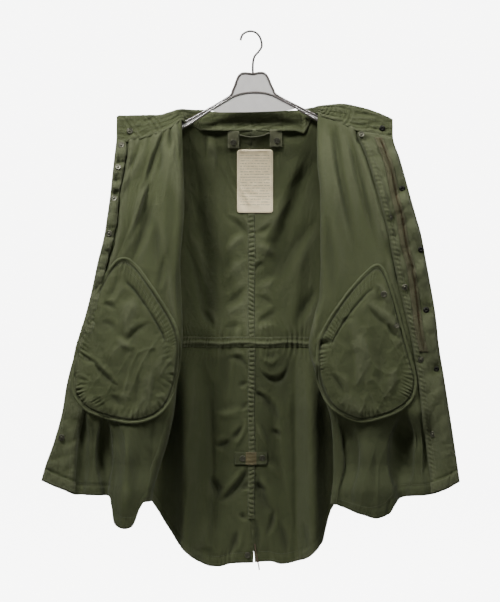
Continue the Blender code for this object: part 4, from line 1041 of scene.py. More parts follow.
def collar_sheet(u, t):
    x = blend(COLLAR.first, COLLAR.last, u)
    out = np.abs(x)
    depth = {}
    for side in SIDES:
        on_front = np.maximum(out, COLLAR_FRONT[side])
        at_front = front_depth(side, on_front, FRONT_NECKS[side].at("drop", on_front))
        at_back = BACK_TOPS[side].at("y", np.minimum(out, COLLAR_BACK))
        share = ramp((out - COLLAR_BACK) / (COLLAR_FRONT[side] - COLLAR_BACK))
        depth[side] = blend(at_back, at_front, share)
    y = np.where(x < 0, depth["left"], depth["right"]) + COLLAR.at("lean", x) * t
    over = NECK_OVERLAP + ROLL_OVERLAP * bell(out, ROLL_MIDDLE, 16)
    over += CORNER_OVERLAP * bell(out, np.where(x < 0, LEFT_CORNER, RIGHT_CORNER), 13)
    drop = blend(COLLAR.at("low", x) + over, COLLAR.at("high", x), t)
    return x, y - 1.8 * (1 - t) ** 2, -drop


def collar_relief(panel):
    rows = 0.8 * np.abs(np.sin(math.pi * panel["t"] * 4)) - 0.5
    crumple = 1.6 * rumpled(81, panel["across"], panel["down"] * 1.2, 19)
    crumple += 2.0 * drawn(84, panel["across"], panel["down"] * 2.2, 1.4, 12, 60)
    pull = 1.0 * puckers(83, panel["across"] + 0.6 * panel["down"], panel["down"] * 0.2, 12, 30)
    ends = ramp(panel["across"] / 5) * ramp((panel["width"] - panel["across"]) / 5)
    return ends * ramp(panel["down"] / 3 + 0.3) * (rows + crumple + pull)


collar, collar_points = cloth_panel("collar_cloth", COLLAR_GRID, collar_sheet, collar_relief, worn_reach=5)
wall(collar, COLLAR_WALL)
dress(collar, shell, "shell_cotton", "collar")


# The doubled strips along both edges: the fly with its snaps, and the strip that the zip is sewn to.
# They are sewn flat on the fronts and buckle between their snaps.
PLACKET_MARGIN, STRIP = 2.5, 1.1
PLACKET_GRID = (30, 260)
PLACKET_HEM, PLACKET_LIFT = 28, 1.9
BUCKLING = ((300, 700, 1000), (1.0, 0.75, 0.35))  # how strongly the strips buckle at three drops
# How each side's waves lean, how strong they are, how strong its ladder is, and how its gathers lean
PLACKET_WAVES = {"left": (-0.4, 1, 0.35, 2.5), "right": (0.9, 0.6, 1, 0.5)}
# Where the fly puffs up between its snaps and is drawn in at them: x, drop, reach and height
FLY_PILLOWS = {
    "left": (
        (-309, 308, 6, -5), (-316, 351, 6, -5), (-317, 383, 6, -5), (-328, 464, 7, -5), (-306, 288, 8, 3),
        (-312, 330, 8, 3), (-318, 368, 8, 3), (-323, 425, 11, 4), (-334, 506, 12, 4), (-345, 570, 13, 4),
    ),
    "right": (
        (335, 315, 20, 8), (352, 412, 19, 8), (385, 468, 20, 8), (394, 566, 20, 8), (408, 700, 21, 8),
        (414, 752, 18, 6), (351, 372, 14, -4), (394, 513, 14, -4), (406, 653, 14, -4), (429, 791, 14, -3),
        (322, 438, 12, -3), (356, 601, 12, -3), (393, 769, 12, -3), (432, 850, 22, 6), (440, 930, 24, 5),
    ),
}


def surface_tree(points):
    """The cloth's surface as a tree that rays are cast on, from its grid of points in millimetres."""
    rows, columns = points.shape[:2]
    corners = [Vector(p) for p in points.reshape(-1, 3)]
    faces = [
        (j * columns + i, j * columns + i + 1, (j + 1) * columns + i + 1, (j + 1) * columns + i)
        for j in range(rows - 1) for i in range(columns - 1)
    ]
    return BVHTree.FromPolygons(corners, faces)


def cloth_depth(trees, x, drop, start=-400, towards=1):
    """Depth of the first cloth met at each (x, drop), looking along Y; NaN where there is none."""
    shape = np.broadcast(x, drop).shape
    met = np.full(shape, np.nan)
    for at in np.ndindex(shape):
        for tree in trees:
            spot, _, _, _ = tree.ray_cast(Vector((x[at], start, -drop[at])), Vector((0, towards, 0)))
            if spot and (np.isnan(met[at]) or (spot.y - met[at]) * towards < 0):
                met[at] = spot.y
    return met


def filled(depth):
    """Gives the places with no cloth the depth of the nearest one in their row or column."""
    for axis in (1, 0):
        for line in np.moveaxis(depth, axis, 1):
            known = ~np.isnan(line)
            if known.any() and not known.all():
                line[~known] = np.interp(np.flatnonzero(~known), np.flatnonzero(known), line[known])
    return depth


def smoothed(depth, passes):
    """Softens the depth but never sinks it into the cloth."""
    soft = depth.copy()
    for _ in range(passes):
        wide = np.pad(soft, 1, mode="edge")
        soft = (wide[:-2, 1:-1] + wide[2:, 1:-1] + wide[1:-1, :-2] + wide[1:-1, 2:] + 4 * soft) / 8
        soft = np.minimum(soft, depth)
    return soft


def laid_surface(trees, outline, gap, passes=6, **look):
    """A surface over outline(u, t), which gives x and drop, lying gap millimetres off the cloth."""
    def surface(u, t):
        x, drop = outline(u, t)
        depth = filled(cloth_depth(trees, x, drop, **look))
        if look.get("towards", 1) < 0:
            return x, -smoothed(-depth, passes) + gap, -drop
        return x, smoothed(depth, passes) - gap, -drop

    return surface


def rungs(along, step, shift):
    """Ridges square to a strip with sharp troughs between them, a step apart and unevenly shifted."""
    return np.abs(np.sin(math.pi * along / step + shift))


front_trees = {side: surface_tree(front_points[side]) for side in SIDES}
placket_points = {}
for side, sign in SIDES.items():
    def outline(u, t, side=side, sign=sign):
        neck, hem = FRONT_NECKS[side], FRONT_HEMS[side]

        def out_at(drop):
            edge = FRONTS[side].at("edge", drop) - PLACKET_MARGIN
            return blend(PLACKET_INNER[side].at("out", drop), edge, u)

        top = neck.at("drop", out_at(neck.at("drop", neck.last))) + PLACKET_MARGIN
        low = hem.at("drop", out_at(hem.at("drop", hem.last))) - PLACKET_MARGIN
        drop = blend(top, low, t)
        return sign * out_at(drop), drop

    def buckle(panel, side=side):
        seed = 90 if side == "left" else 95
        lean, wave_share, ladder_share, gather_lean = PLACKET_WAVES[side]
        ends = np.minimum(ramp(panel["u"] / 0.12), ramp((1 - panel["u"]) / 0.1)) * ramp(panel["down"] / 8)
        strength = np.interp(panel["drop"], *BUCKLING)
        slant = panel["down"] + lean * panel["across"]
        waves = rungs(slant, 46, 1.7 * soft_noise(seed, slant / 70, panel["across"] / 60))
        pillow = sum(
            height * bell(panel["x"], x, reach) * bell(panel["drop"], drop, 1.5 * reach)
            for x, drop, reach, height in FLY_PILLOWS[side]
        )
        ladder = rungs(panel["down"], 11, 1.2 * soft_noise(seed + 7, panel["down"] / 60, 0))
        beside = bell(panel["across"], 8, 7) * ladder_share
        panel["shaded"] = 0.9 * beside * (1 - ladder) ** 2
        ladder = 3.4 * ladder * beside
        up = panel["length"] - panel["down"]
        turned_up = 1.8 * ramp((PLACKET_HEM - 1 - up) / 2) - 2.2 * bell(up, PLACKET_HEM, 2.4)
        panel["shaded"] += 1.2 * bell(up, PLACKET_HEM, 2.6) + 0.4 * np.maximum(-pillow, 0)
        rumple = 0.9 + rumpled(seed + 1, panel["across"], panel["down"], 24)
        edges = 0.45 * puckers(seed + 2, panel["down"], panel["across"], 7, 12)
        gathers = drawn(seed + 5, panel["across"] * 2 + 300, panel["down"], gather_lean, 22, 60)
        buckled = strength * (4.0 * wave_share * waves + 1.4 * rumple + 2.4 * gathers)
        return 0.5 + ends * (buckled + ladder + pillow) + edges + turned_up

    laid = laid_surface([front_trees[side]], outline, PLACKET_LIFT)
    strip, placket_points[side] = cloth_panel(
        f"placket_{side}_cloth", PLACKET_GRID, laid, buckle, worn_reach=6
    )
    wall(strip, STRIP)
    dress(strip, shell, "shell_cotton", f"placket_{side}")

placket_trees = {side: surface_tree(placket_points[side]) for side in SIDES}


# The zip's tape is sewn along the right fly. It is a narrow bronze band with two rows of stitches,
# and one row of small metal teeth lies along its middle. The teeth stop short of its lower end, where its
# flat box is left out.
ZIP = Table(
    "drop out", (246, 297), (316, 321), (388, 335), (435, 347), (496, 356), (550, 370), (639, 382),
    (700, 389), (747, 400),
)
ZIP_WIDTH, ZIP_WALL, ZIP_LIFT = 20, 0.9, 1.4
ZIP_GRID = (14, 240)
TOOTH_ASIDE, TOOTH_LIFT = 3, 1.1  # the teeth lie a little to one side of the tape's middle, and on it
TOOTH = (4.2, 1.4, 1.2)  # across, out and along the tape
TOOTH_STEP, FIRST_TOOTH, ZIP_BOX = 2.6, 4, 8
bronze = cotton("bronze_tape", (0.068, 0.066, 0.031), (0.038, 0.037, 0.018), (0.10, 0.094, 0.05))


def zip_outline(u, t):
    drop = blend(ZIP.first, ZIP.last, t)
    return ZIP.at("out", drop) + (u - 0.5) * ZIP_WIDTH, drop + 3


def tape_relief(panel):
    return 0.3 + 0.35 * puckers(97, panel["down"], np.abs(panel["across"] - panel["width"] / 2), 6, 14)


laid = laid_surface([placket_trees["right"]], zip_outline, ZIP_LIFT, 10)
zip_tape, zip_points = cloth_panel("zip_tape_cloth", ZIP_GRID, laid, tape_relief)
wall(zip_tape, ZIP_WALL)
dress(zip_tape, bronze, "bronze_tape", "zip_tape")


def metal(name, colour, roughness, worn_colour, scale=900):
    """A metal with a rubbed, uneven finish."""
    material, tree, shader, place = new_material(name)
    speckle = noise_of(tree, place["Object"], scale, 4)
    sharp = maths(tree, "MULTIPLY", maths(tree, "SUBTRACT", speckle, 0.5), 4, clamp=True)
    link(tree, mixed(tree, sharp, colour, worn_colour), shader.inputs["Base Color"])
    roughen(tree, shader, speckle, 0.3, roughness - 0.1)
    shader.inputs["Metallic"].default_value = 0.85
    emboss(tree, shader, speckle, 0.0001, 0.4)
    return material


def placement(spot, ahead, axis="Z", up="Y", size=(1, 1, 1)):
    """Places a shape of a size at a spot in millimetres, with its axis turned along ahead."""
    turn = ahead.to_track_quat(axis, up).to_matrix().to_4x4()
    return Matrix.Scale(MM, 4) @ Matrix.Translation(spot) @ turn @ Matrix.Diagonal((*size, 1))


teeth_brass = metal("teeth_brass", (0.085, 0.058, 0.032), 0.5, (0.17, 0.115, 0.065))
middle_line = zip_points[:, zip_points.shape[1] // 2]
run = np.insert(np.cumsum(np.linalg.norm(np.diff(middle_line, axis=0), axis=1)), 0, 0)
teeth = bmesh.new()
for at in np.arange(FIRST_TOOTH, run[-1] - ZIP_BOX, TOOTH_STEP):
    spot, beyond = (
        Vector([np.interp(along, run, middle_line[:, k]) for k in range(3)]) for along in (at, at + 2)
    )
    place = placement(spot + Vector((TOOTH_ASIDE, -TOOTH_LIFT, 0)), beyond - spot, size=TOOTH)
    bmesh.ops.create_cube(teeth, size=1, matrix=place)
zip_teeth = dress(add_piece("zip_teeth", teeth), teeth_brass, "snap_brass")
zip_teeth.data.shade_flat()


# The pocket bags: each is doubled cloth in a teardrop, hanging inside a front, with its edge bound
# all round. They are puffed out a little, creased across, and puckered at their bound edge.
BAGS = {
    "left": Table(
        "along out drop", (0, 298, 528), (0.3, 284, 532), (1, 249, 573), (2, 203, 641), (3, 170, 702),
        (4, 164, 750), (5, 175, 827), (6, 196, 878), (7, 229, 905), (8, 276, 916), (9, 330, 907),
        (10, 372, 893), (11, 404, 868), (12, 418, 830), (13, 413, 765), (14, 396, 702), (15, 363, 616),
        (16, 330, 556), (16.7, 309, 533), (17, 298, 528),
    ),
    "right": Table(
        "along out drop", (0, 295, 541), (0.25, 286, 546), (1, 238, 594), (2, 203, 639), (3, 168, 694),
        (4, 152, 735), (5, 150, 795), (6, 162, 844), (7, 184, 880), (8, 217, 902), (9, 255, 914),
        (10, 300, 905), (11, 346, 887), (12, 376, 858), (13, 384, 820), (14, 372, 768), (15, 350, 692),
        (16, 328, 612), (16.75, 303, 548), (17, 295, 541),
    ),
}
BAG_CENTRES = {"left": (294, 770), "right": (272, 768)}
BAG_CLEARANCE, BAG_PUFF = {"left": 5, "right": 3.5}, 11
BAG_INSET, BAG_GRID = 4, (116, 116)
BAG_CREASES = {
    "left": listed(
        Crease,
        (-398, 752, -360, 776, -4, 4, 5), (-372, 764, -308, 832, -6, 5, 6), (-292, 730, -234, 680, 5, 4, 8),
        (-318, 712, -262, 742, -8, -3, 9), (-262, 800, -272, 880, 3, 3, 8),
        (-230, 790, -236, 870, -3, -3, 8), (-306, 566, -340, 640, 4, 3, 8), (-350, 640, -310, 655, 5, 3, 6),
        (-270, 620, -300, 690, 6, -3, 12), (-352, 680, -312, 706, 6, 2.5, 8),
        (-330, 850, -300, 884, 4, 2.5, 9),
    ),
    "right": listed(
        Crease,
        (268, 640, 330, 700, -6, 4, 7), (300, 650, 352, 742, 8, -3, 9), (316, 686, 352, 724, -5, 4, 6),
        (222, 700, 236, 830, 5, 3, 14), (262, 690, 250, 850, -5, -3, 16), (300, 740, 286, 870, 6, 3, 13),
        (340, 780, 320, 862, -4, -2.5, 10), (180, 800, 216, 852, 5, 3, 8), (196, 690, 240, 668, 3, 2.5, 6),
        (286, 590, 300, 650, 3, 3, 7), (306, 610, 322, 640, 3, -2.5, 5),
    ),
}


def bag_outline(side, share, inset=0.0):
    table = BAGS[side]
    out, drop = 0, 0
    for shift, weight in ((-0.44, 0.12), (-0.22, 0.22), (0, 0.32), (0.22, 0.22), (0.44, 0.12)):
        along = (share * table.last + shift) % table.last
        out, drop = out + weight * table.at("out", along), drop + weight * table.at("drop", along)
    middle_out, middle_drop = BAG_CENTRES[side]
    scale = 1 - inset / np.hypot(out - middle_out, drop - middle_drop)
    return blend(middle_out, out, scale), blend(middle_drop, drop, scale)


# Where each bag's edge is gathered most, and the stretch of its edge that the pocket's facing lies along
RIM_GATHERS = {"left": (0.16, 0.62), "right": (0.20, 0.70)}
RIM_PUCKER = {"left": 1, "right": 0.65}
BAG_WALL, RIM_SEAM, FACING_EDGE = 1.6, 3.2, 28
BAG_RADIUS, BAG_ROUND = 120, 1050  # about how far the edge is from the middle, and how long it is
FACING_STRETCH = {"left": (0.0, 0.20), "right": (0.0, 0.22)}


def strip_share(side, share):
    first, last = FACING_STRETCH[side]
    return ramp((share - first) / 0.02) * ramp((last - share) / 0.02)


def closed_tube(length, sides, place):
    """A tube round a closed line: place(at, angle) gives each of its corners in millimetres."""
    tube = bmesh.new()
    bmesh.ops.create_grid(tube, x_segments=length, y_segments=sides, size=0.5)
    for corner in tube.verts:
        at = round((corner.co.x + 0.5) * length) % length
        corner.co = place(at, 2 * math.pi * (corner.co.y + 0.5)) * MM
    bmesh.ops.remove_doubles(tube, verts=tube.verts, dist=0.00001)
    bmesh.ops.recalc_face_normals(tube, faces=tube.faces)
    return tube


BINDING_RADII = (3.4, 2.0)  # across and off the cloth
binding_cotton = cotton("olive_binding", (0.078, 0.088, 0.042), (0.05, 0.060, 0.024), (0.12, 0.13, 0.08))
bag_points = {}


def disc(u, t):
    """A square grid bent into a disc: how far from its middle, and the share of the way round."""
    across, down = 2 * u - 1, 2 * t - 1
    x = across * np.sqrt(1 - down * down / 2)
    z = down * np.sqrt(1 - across * across / 2)
    return np.hypot(x, z), np.arctan2(-x, -z) / (2 * math.pi)


for side, sign in SIDES.items():
    def surface(u, t, side=side, sign=sign):
        radius, share = disc(u, t)
        out, drop = bag_outline(side, share, BAG_INSET)
        middle_out, middle_drop = BAG_CENTRES[side]
        out, drop = blend(middle_out, out, radius), blend(middle_drop, drop, radius)
        depth = filled(cloth_depth([front_trees[side]], sign * out, drop))
        depth = smoothed(depth, 60) - BAG_CLEARANCE[side] - BAG_PUFF * (1 - radius**2)
        return sign * out, depth, -drop

    def relief(panel, side=side, sign=sign):
        seed = 110 if side == "left" else 120
        radius, share = disc(panel["u"], panel["t"])
        from_rim = (1 - radius) * BAG_RADIUS
        around = share * BAG_ROUND
        creases = creased(BAG_CREASES[side], panel["x"], panel["drop"])
        rumple = 2.4 * rumpled(seed, panel["x"] + 500, panel["drop"], 44)
        fine = 0.7 * rumpled(seed + 3, panel["x"] + 500, panel["drop"], 15)
        near = (np.cos(2 * math.pi * (share - middle)) ** 2 for middle in RIM_GATHERS[side])
        gathered = 0.45 + 0.55 * np.maximum(*near)
        within = np.maximum(from_rim - 4, 0)
        skewed = around + 0.35 * within
        wide = 2.5 * puckers(seed + 6, skewed, within, 17, 20)
        rim = gathered * (wide + 1.5 * puckers(seed + 8, around, within, 8, 12))
        rim *= RIM_PUCKER[side] * ramp((from_rim - 2) / 5)
        seam = -2.4 * bell(from_rim, RIM_SEAM, 2.0)
        pulled = 2.0 * drawn(seed + 12, panel["x"] + NOISE_SHIFT, panel["drop"], 0.5 * sign, 26, 90)
        facing = strip_share(side, share) * ramp((FACING_EDGE - 1 - from_rim) / 4) * ramp((from_rim - 3) / 3)
        rim = rim * (1 - 0.8 * facing)
        body = ramp((from_rim - 2) / 16) * (1.6 * creases + pulled + rumple + fine)
        quilted = facing * 1.8 * rungs(around, 10, 1.5 * soft_noise(seed + 15, around / 50, 0))
        inner_edge = strip_share(side, share) * bell(from_rim, FACING_EDGE, 2.2)
        panel["shaded"] = 0.35 * facing + 1.5 * inner_edge + 1.4 * bell(from_rim, RIM_SEAM, 2.4)
        return body * (1 - 0.7 * facing) + rim + seam + quilted - 0.6 * facing - 3.2 * inner_edge

    bag, bag_points[side] = cloth_panel(f"bag_{side}_cloth", BAG_GRID, surface, relief)
    wall(bag, BAG_WALL)
    dress(bag, shell, "shell_cotton", f"bag_{side}")

    # The binding is a folded strip round the bag's edge, a little flattened, with a line of sewing
    turns = np.linspace(0, 1, 240, endpoint=False)
    out, drop = bag_outline(side, turns, 1.5)
    rim_depth = filled(cloth_depth([front_trees[side]], sign * out, drop)[None])[0]
    for _ in range(8):
        rim_depth = (np.roll(rim_depth, 1) + np.roll(rim_depth, -1) + 2 * rim_depth) / 4
    rim_depth = rim_depth - BAG_CLEARANCE[side]
    edge = np.stack([sign * out, rim_depth, -drop], 1)
    ahead = np.roll(edge, -1, axis=0) - np.roll(edge, 1, axis=0)

    def bound(at, angle, edge=edge, ahead=ahead):
        way = Vector(ahead[at]).normalized()
        side_way = way.cross(Vector((0, 1, 0))).normalized()
        swell = 1 + 0.10 * math.sin(at * 1.9) + 0.06 * math.sin(at * 0.7)
        wide, thick = BINDING_RADII[0] * math.cos(angle), BINDING_RADII[1] * math.sin(angle)
        return Vector(edge[at]) + (side_way * wide + side_way.cross(way) * thick) * swell

    ring = closed_tube(len(edge), 12, bound)
    binding = dress(add_piece(f"bag_binding_{side}_cloth", ring), binding_cotton, "binding_cotton",
                    f"bag_binding_{side}")


# The flaps of the two slanted pockets, on the outer face of the fronts, behind what shows.
POCKET_FLAPS = {"left": (300, 560, 190, 700), "right": (296, 566, 178, 716)}
FLAP_WIDTH, FLAP_SLANT, FLAP_FRONT = 62, math.radians(40.5), -42
FLAP_GRID, FLAP_WALL, FLAP_LIFT = (60, 24), 1.4, 1.9


def flap_outline(side, u, t):
    high_out, high_drop, low_out, low_drop = POCKET_FLAPS[side]
    out = blend(high_out, low_out, u) + FLAP_WIDTH * t * math.cos(FLAP_SLANT)
    return SIDES[side] * out, blend(high_drop, low_drop, u) + FLAP_WIDTH * t * math.sin(FLAP_SLANT)


def slight(lift, height, seed, size):
    """A relief of low rumples on cloth that is lifted a little."""
    return lambda panel: lift + height * rumpled(seed, panel["across"], panel["down"], size)


flap_points = {}
for side in SIDES:
    outline = partial(flap_outline, side)
    laid = laid_surface([front_trees[side]], outline, FLAP_LIFT, start=FLAP_FRONT, towards=-1)
    flap, flap_points[side] = cloth_panel(
        f"pocket_flap_{side}_cloth", FLAP_GRID, laid, slight(0.6, 0.6, 131, 26), toward=(0, 1, 0)
    )
    wall(flap, FLAP_WALL)
    dress(flap, shell, "shell_cotton", f"pocket_flap_{side}")


# On the back: the felled middle seam, the casing of the waist's drawcord, the sewn label, the two
# neck tabs with a cord between them, and the tab of the tail. Each is sewn flat on the cloth.
SEAM_TOP, SEAM_HALF_WIDTH = 424.5, 7.5
CASING_TOP, CASING_LOW, CASING_REACH = 717, 742, 196
Patch = namedtuple("Patch", "x half_width top low")
LABEL = Patch(8.5, 42.5, 274, 423)
NECK_TABS = {"left": Patch(-42.5, 13.5, 232, 271), "right": Patch(57.5, 14.5, 228, 268)}
TAIL_TAB = Patch(-1.5, 39.5, 991, 1021)
SEAM_GRID, CASING_GRID, LABEL_GRID, TAB_GRID = (14, 420), (330, 14), (40, 68), (20, 20)
SEAM_LIFT, CASING_LIFT, LABEL_LIFT, TAB_LIFT = 0.9, 1.0, 1.3, 2.2
back_trees = [surface_tree(back_points[side]) for side in SIDES]


def seam_sway(drop):
    return 0.8 * np.sin(drop / 37)


def casing_sway(x):
    return 0.8 * np.sin(x / 19)


def seam_outline(u, t):
    drop = blend(SEAM_TOP, SLIT_TOP, t)
    return (2 * u - 1) * SEAM_HALF_WIDTH + seam_sway(drop), drop


def seam_relief(panel):
    hump = np.clip(np.sin(math.pi * panel["u"]), 0, 1) ** 0.4
    uneven = 0.75 + 0.25 * soft_noise(142, panel["down"] / 23, panel["u"])
    ladder = rungs(panel["down"], 11, 1.3 * soft_noise(141, panel["down"] / 70, panel["u"]))
    panel["shaded"] = 0.9 * (1 - ladder) ** 2
    return hump * (0.6 + 3.0 * uneven * ladder)


laid = laid_surface(back_trees, seam_outline, SEAM_LIFT, 14)
back_seam, seam_points = cloth_panel("back_seam_cloth", SEAM_GRID, laid, seam_relief, worn_reach=4)
wall(back_seam, STRIP)
dress(back_seam, shell, "shell_cotton", "back_seam")
seam_tree = surface_tree(seam_points)


def casing_outline(u, t):
    x = (2 * u - 1) * CASING_REACH
    return x, blend(CASING_TOP, CASING_LOW, t) + casing_sway(x)


def casing_relief(panel):
    hump = 0.8 * np.clip(np.sin(math.pi * panel["t"]), 0, 1) ** 0.4
    cord = 3.4 * bell(panel["t"], 0.6 + 0.05 * np.sin(panel["across"] / 17), 0.15)
    gathers = puckers(151, panel["across"] + 4 * panel["t"], 0, 7, 14)
    gathers = gathers + 0.6 * rumpled(152, panel["across"], panel["down"], 9)
    panel["shaded"] = 0.9 * bell(panel["t"], 0.86, 0.08) + 0.3 * (panel["t"] < 0.4)
    return hump + cord + 0.9 * gathers


laid = laid_surface([*back_trees, seam_tree], casing_outline, CASING_LIFT, 4)
casing, casing_points = cloth_panel("waist_casing_cloth", CASING_GRID, laid, casing_relief, worn_reach=4)
wall(casing, STRIP)
dress(casing, shell, "shell_cotton", "waist_casing")


def overdye(tree, shader, mask, colour):
    """Lays a colour over a cotton's own woven colour where the mask is 1."""
    woven = shader.inputs["Base Color"].links[0].from_socket
    link(tree, mixed(tree, mask, woven, colour), shader.inputs["Base Color"])


CREAM_LIT, CREAM_DEEP, CREAM_FADED = (0.90, 0.77, 0.50), (0.76, 0.63, 0.38), (0.95, 0.85, 0.62)
cream = cotton("cream_label", CREAM_LIT, CREAM_DEEP, CREAM_FADED, sheen=0.02, bump=0.0004)

# Faint broken rules stand for the label's print; they spell nothing
RULE_STEP, RULE_SHARE, INK = 0.0066, 0.3, (0.36, 0.32, 0.23)
RULE_ACROSS, RULE_DOWN = (0.007, 0.078), (0.012, 0.138)  # the block of rules, in metres on the label
WORDS, WORD_SHIFT, WORD_GAP = 420, 3.7, 0.44  # how short the pieces of a rule are, and how often it breaks
tree = cream.node_tree
calc = partial(maths, tree)
across, down, _ = split_place(tree, node(tree, "ShaderNodeTexCoord").outputs["UV"])
line = calc("MULTIPLY", down, 1 / RULE_STEP)
spread = node(tree, "ShaderNodeCombineXYZ")
link(tree, calc("MULTIPLY", across, WORDS), spread.inputs[0])
link(tree, calc("MULTIPLY", calc("FLOOR", line), WORD_SHIFT), spread.inputs[1])
broken = calc("GREATER_THAN", noise_of(tree, spread.outputs[0], 1, 1), WORD_GAP)
ruled = calc("MULTIPLY", broken, calc("LESS_THAN", calc("FRACT", line), RULE_SHARE))
for way, low, high in ((across, *RULE_ACROSS), (down, *RULE_DOWN)):
    ruled = calc("MULTIPLY", ruled, calc("GREATER_THAN", way, low))
    ruled = calc("MULTIPLY", ruled, calc("LESS_THAN", way, high))
overdye(tree, tree.nodes["Principled BSDF"], calc("MULTIPLY", ruled, 0.8), INK)


def patch_outline(patch, corner=0.0):
    """The patch's outline, with its corners rounded off to a radius."""
    def outline(u, t):
        half_height = (patch.low - patch.top) / 2
        x, z = (2 * u - 1) * patch.half_width, (2 * t - 1) * half_height
        over_x = np.abs(x) - (patch.half_width - corner)
        over_z = np.abs(z) - (half_height - corner)
        both = (over_x > 0) & (over_z > 0)
        reach = np.where(both, np.maximum(over_x, over_z) / np.maximum(np.hypot(over_x, over_z), 1e-6), 1)
        x = np.where(both, np.sign(x) * (patch.half_width - corner + over_x * reach), x)
        z = np.where(both, np.sign(z) * (half_height - corner + over_z * reach), z)
        return patch.x + x, (patch.top + patch.low) / 2 + z

    return outline


LABEL_WALL, TAB_WALL = 0.9, 1.1
laid, relief = laid_surface(back_trees, patch_outline(LABEL, 7), LABEL_LIFT, 20), slight(0.3, 0.45, 161, 12)
label, label_points = cloth_panel("label_cloth", LABEL_GRID, laid, relief, worn_reach=3)
wall(label, LABEL_WALL)
dress(label, cream, "label_cloth", "label")

# The tail tab is tan in its middle, and its two ends are of the shell's olive
TAB_MIDDLE, TAB_HALF, OLIVE_END = -0.001, 0.012, (0.045, 0.052, 0.022)
tan = cotton("tan_tab", (0.115, 0.095, 0.045), (0.07, 0.06, 0.026), (0.17, 0.14, 0.08))
tree = tan.node_tree
x_way = split_place(tree, node(tree, "ShaderNodeTexCoord").outputs["Object"])[0]
aside = maths(tree, "ABSOLUTE", maths(tree, "SUBTRACT", x_way, TAB_MIDDLE))
end = maths(tree, "MULTIPLY", maths(tree, "SUBTRACT", aside, TAB_HALF), 600, clamp=True)
overdye(tree, tree.nodes["Principled BSDF"], end, OLIVE_END)
tab_cotton = cotton("olive_tab", (0.125, 0.13, 0.075), (0.08, 0.085, 0.044), (0.18, 0.185, 0.12))
tab_points = {}
for name, patch, under, look in (
    ("neck_tab_left", NECK_TABS["left"], back_trees, tab_cotton),
    ("neck_tab_right", NECK_TABS["right"], back_trees, tab_cotton),
    ("tail_tab", TAIL_TAB, [*back_trees, seam_tree], tan),
):
    laid = laid_surface(under, patch_outline(patch, 2), TAB_LIFT, 20)
    relief = slight(0.3, 0.3, 171, 9)
    tab, tab_points[name] = cloth_panel(f"{name}_cloth", TAB_GRID, laid, relief, worn_reach=3)
    wall(tab, TAB_WALL)
    dress(tab, look, "binding_cotton", name)


# The cord between the neck tabs, which hangs in a shallow loop, and the twisted finish of both cords.
LOOP_CORD, LOOP_ENDS, LOOP_SAG, LOOP_LIFT = 2.6, ((-28.2, 240), (42.2, 236)), 7, 0.8


def twisted(name, light, deep, turns):
    """A twisted cord: its strands slant round it, so the pattern follows the cord's own UV map."""
    material, tree, shader, place = new_material(name)
    along, around, _ = split_place(tree, place["UV"])
    slant = maths(tree, "ADD", maths(tree, "MULTIPLY", along, turns * 2 * math.pi),
                  maths(tree, "MULTIPLY", around, 2 * math.pi))
    strand = maths(tree, "ABSOLUTE", maths(tree, "SINE", slant))
    speckle = noise_of(tree, place["Object"], 500, 3)
    tone = maths(tree, "MULTIPLY", maths(tree, "ADD", strand, speckle), 0.6, clamp=True)
    link(tree, mixed(tree, tone, deep, light), shader.inputs["Base Color"])
    roughen(tree, shader, speckle, 0.2, 0.65)
    emboss(tree, shader, strand, 0.0006)
    return material


tail_cord.data.materials.append(twisted("brown_cord", (0.10, 0.065, 0.035), (0.045, 0.028, 0.015), 18))
olive_cord = twisted("olive_cord", (0.10, 0.105, 0.06), (0.03, 0.034, 0.015), 28)
share = np.linspace(0, 1, 31)
loop_x = blend(LOOP_ENDS[0][0], LOOP_ENDS[1][0], share)
loop_drop = blend(LOOP_ENDS[0][1], LOOP_ENDS[1][1], share) + LOOP_SAG * 4 * share * (1 - share)
tab_trees = {name: surface_tree(points) for name, points in tab_points.items()}
loop_under = [*back_trees, tab_trees["neck_tab_left"], tab_trees["neck_tab_right"]]
loop_y = smoothed(filled(cloth_depth(loop_under, loop_x[None], loop_drop[None])), 6)[0]
loop_y = loop_y - LOOP_CORD / 2 - LOOP_LIFT
loop_line = [Vector((x, y, -drop)) * MM for x, y, drop in zip(loop_x, loop_y, loop_drop)]
neck_loop = cord_curve("neck_loop_cord", loop_line, LOOP_CORD * MM)
dress(neck_loop, olive_cord, "binding_cotton", "neck_loop")


# Snaps of blackened brass: studs and sockets along both edges, and the backs of those on the neck
# tabs, the tail tab, the hem and the right pocket bag. Each is a pressed disc, turned in one piece.
SNAPS = {
    "stud_left": ((-285, 234), (-304, 268), (-311, 320), (-320, 393), (-331, 475), (-441, 949)),
    "stud_right": ((257, 243), (322, 437), (356, 600), (393, 768), (422, 942)),
    "socket_right": ((306, 228), (351, 370), (394, 512), (406, 653), (429, 790)),
    "snap_neck": ((-43, 257), (60, 253)),
    "snap_tail": ((-21, 1006), (26, 1005)),
    "snap_hem": ((-9, 1235),),
    "snap_bag": ((307, 616), (336, 689)),
}
# Half profiles, from the middle outwards: radius and height off the cloth
STUD = ((0, 3.2), (1.7, 3.1), (2.4, 2.4), (2.0, 1.2), (3.0, 0.9), (4.8, 0.8), (5.9, 1.5), (6.8, 1.2),
        (7.2, 0.0))
SOCKET = ((0, 0.4), (2.4, 0.5), (2.9, 2.4), (4.0, 2.7), (4.8, 1.6), (5.9, 1.4), (6.8, 1.0), (7.2, 0.0))
CAP = ((0, 1.5), (2.2, 1.4), (4.0, 1.0), (5.0, 0.9), (5.8, 1.7), (6.7, 1.4), (7.2, 0.0))
SNAP_SEGMENTS, SNAP_LIFT = 28, 0.7
brass = metal("blackened_brass", (0.07, 0.07, 0.05), 0.38, (0.26, 0.255, 0.19))
black = metal("black_brass", (0.012, 0.012, 0.010), 0.5, (0.05, 0.048, 0.036))


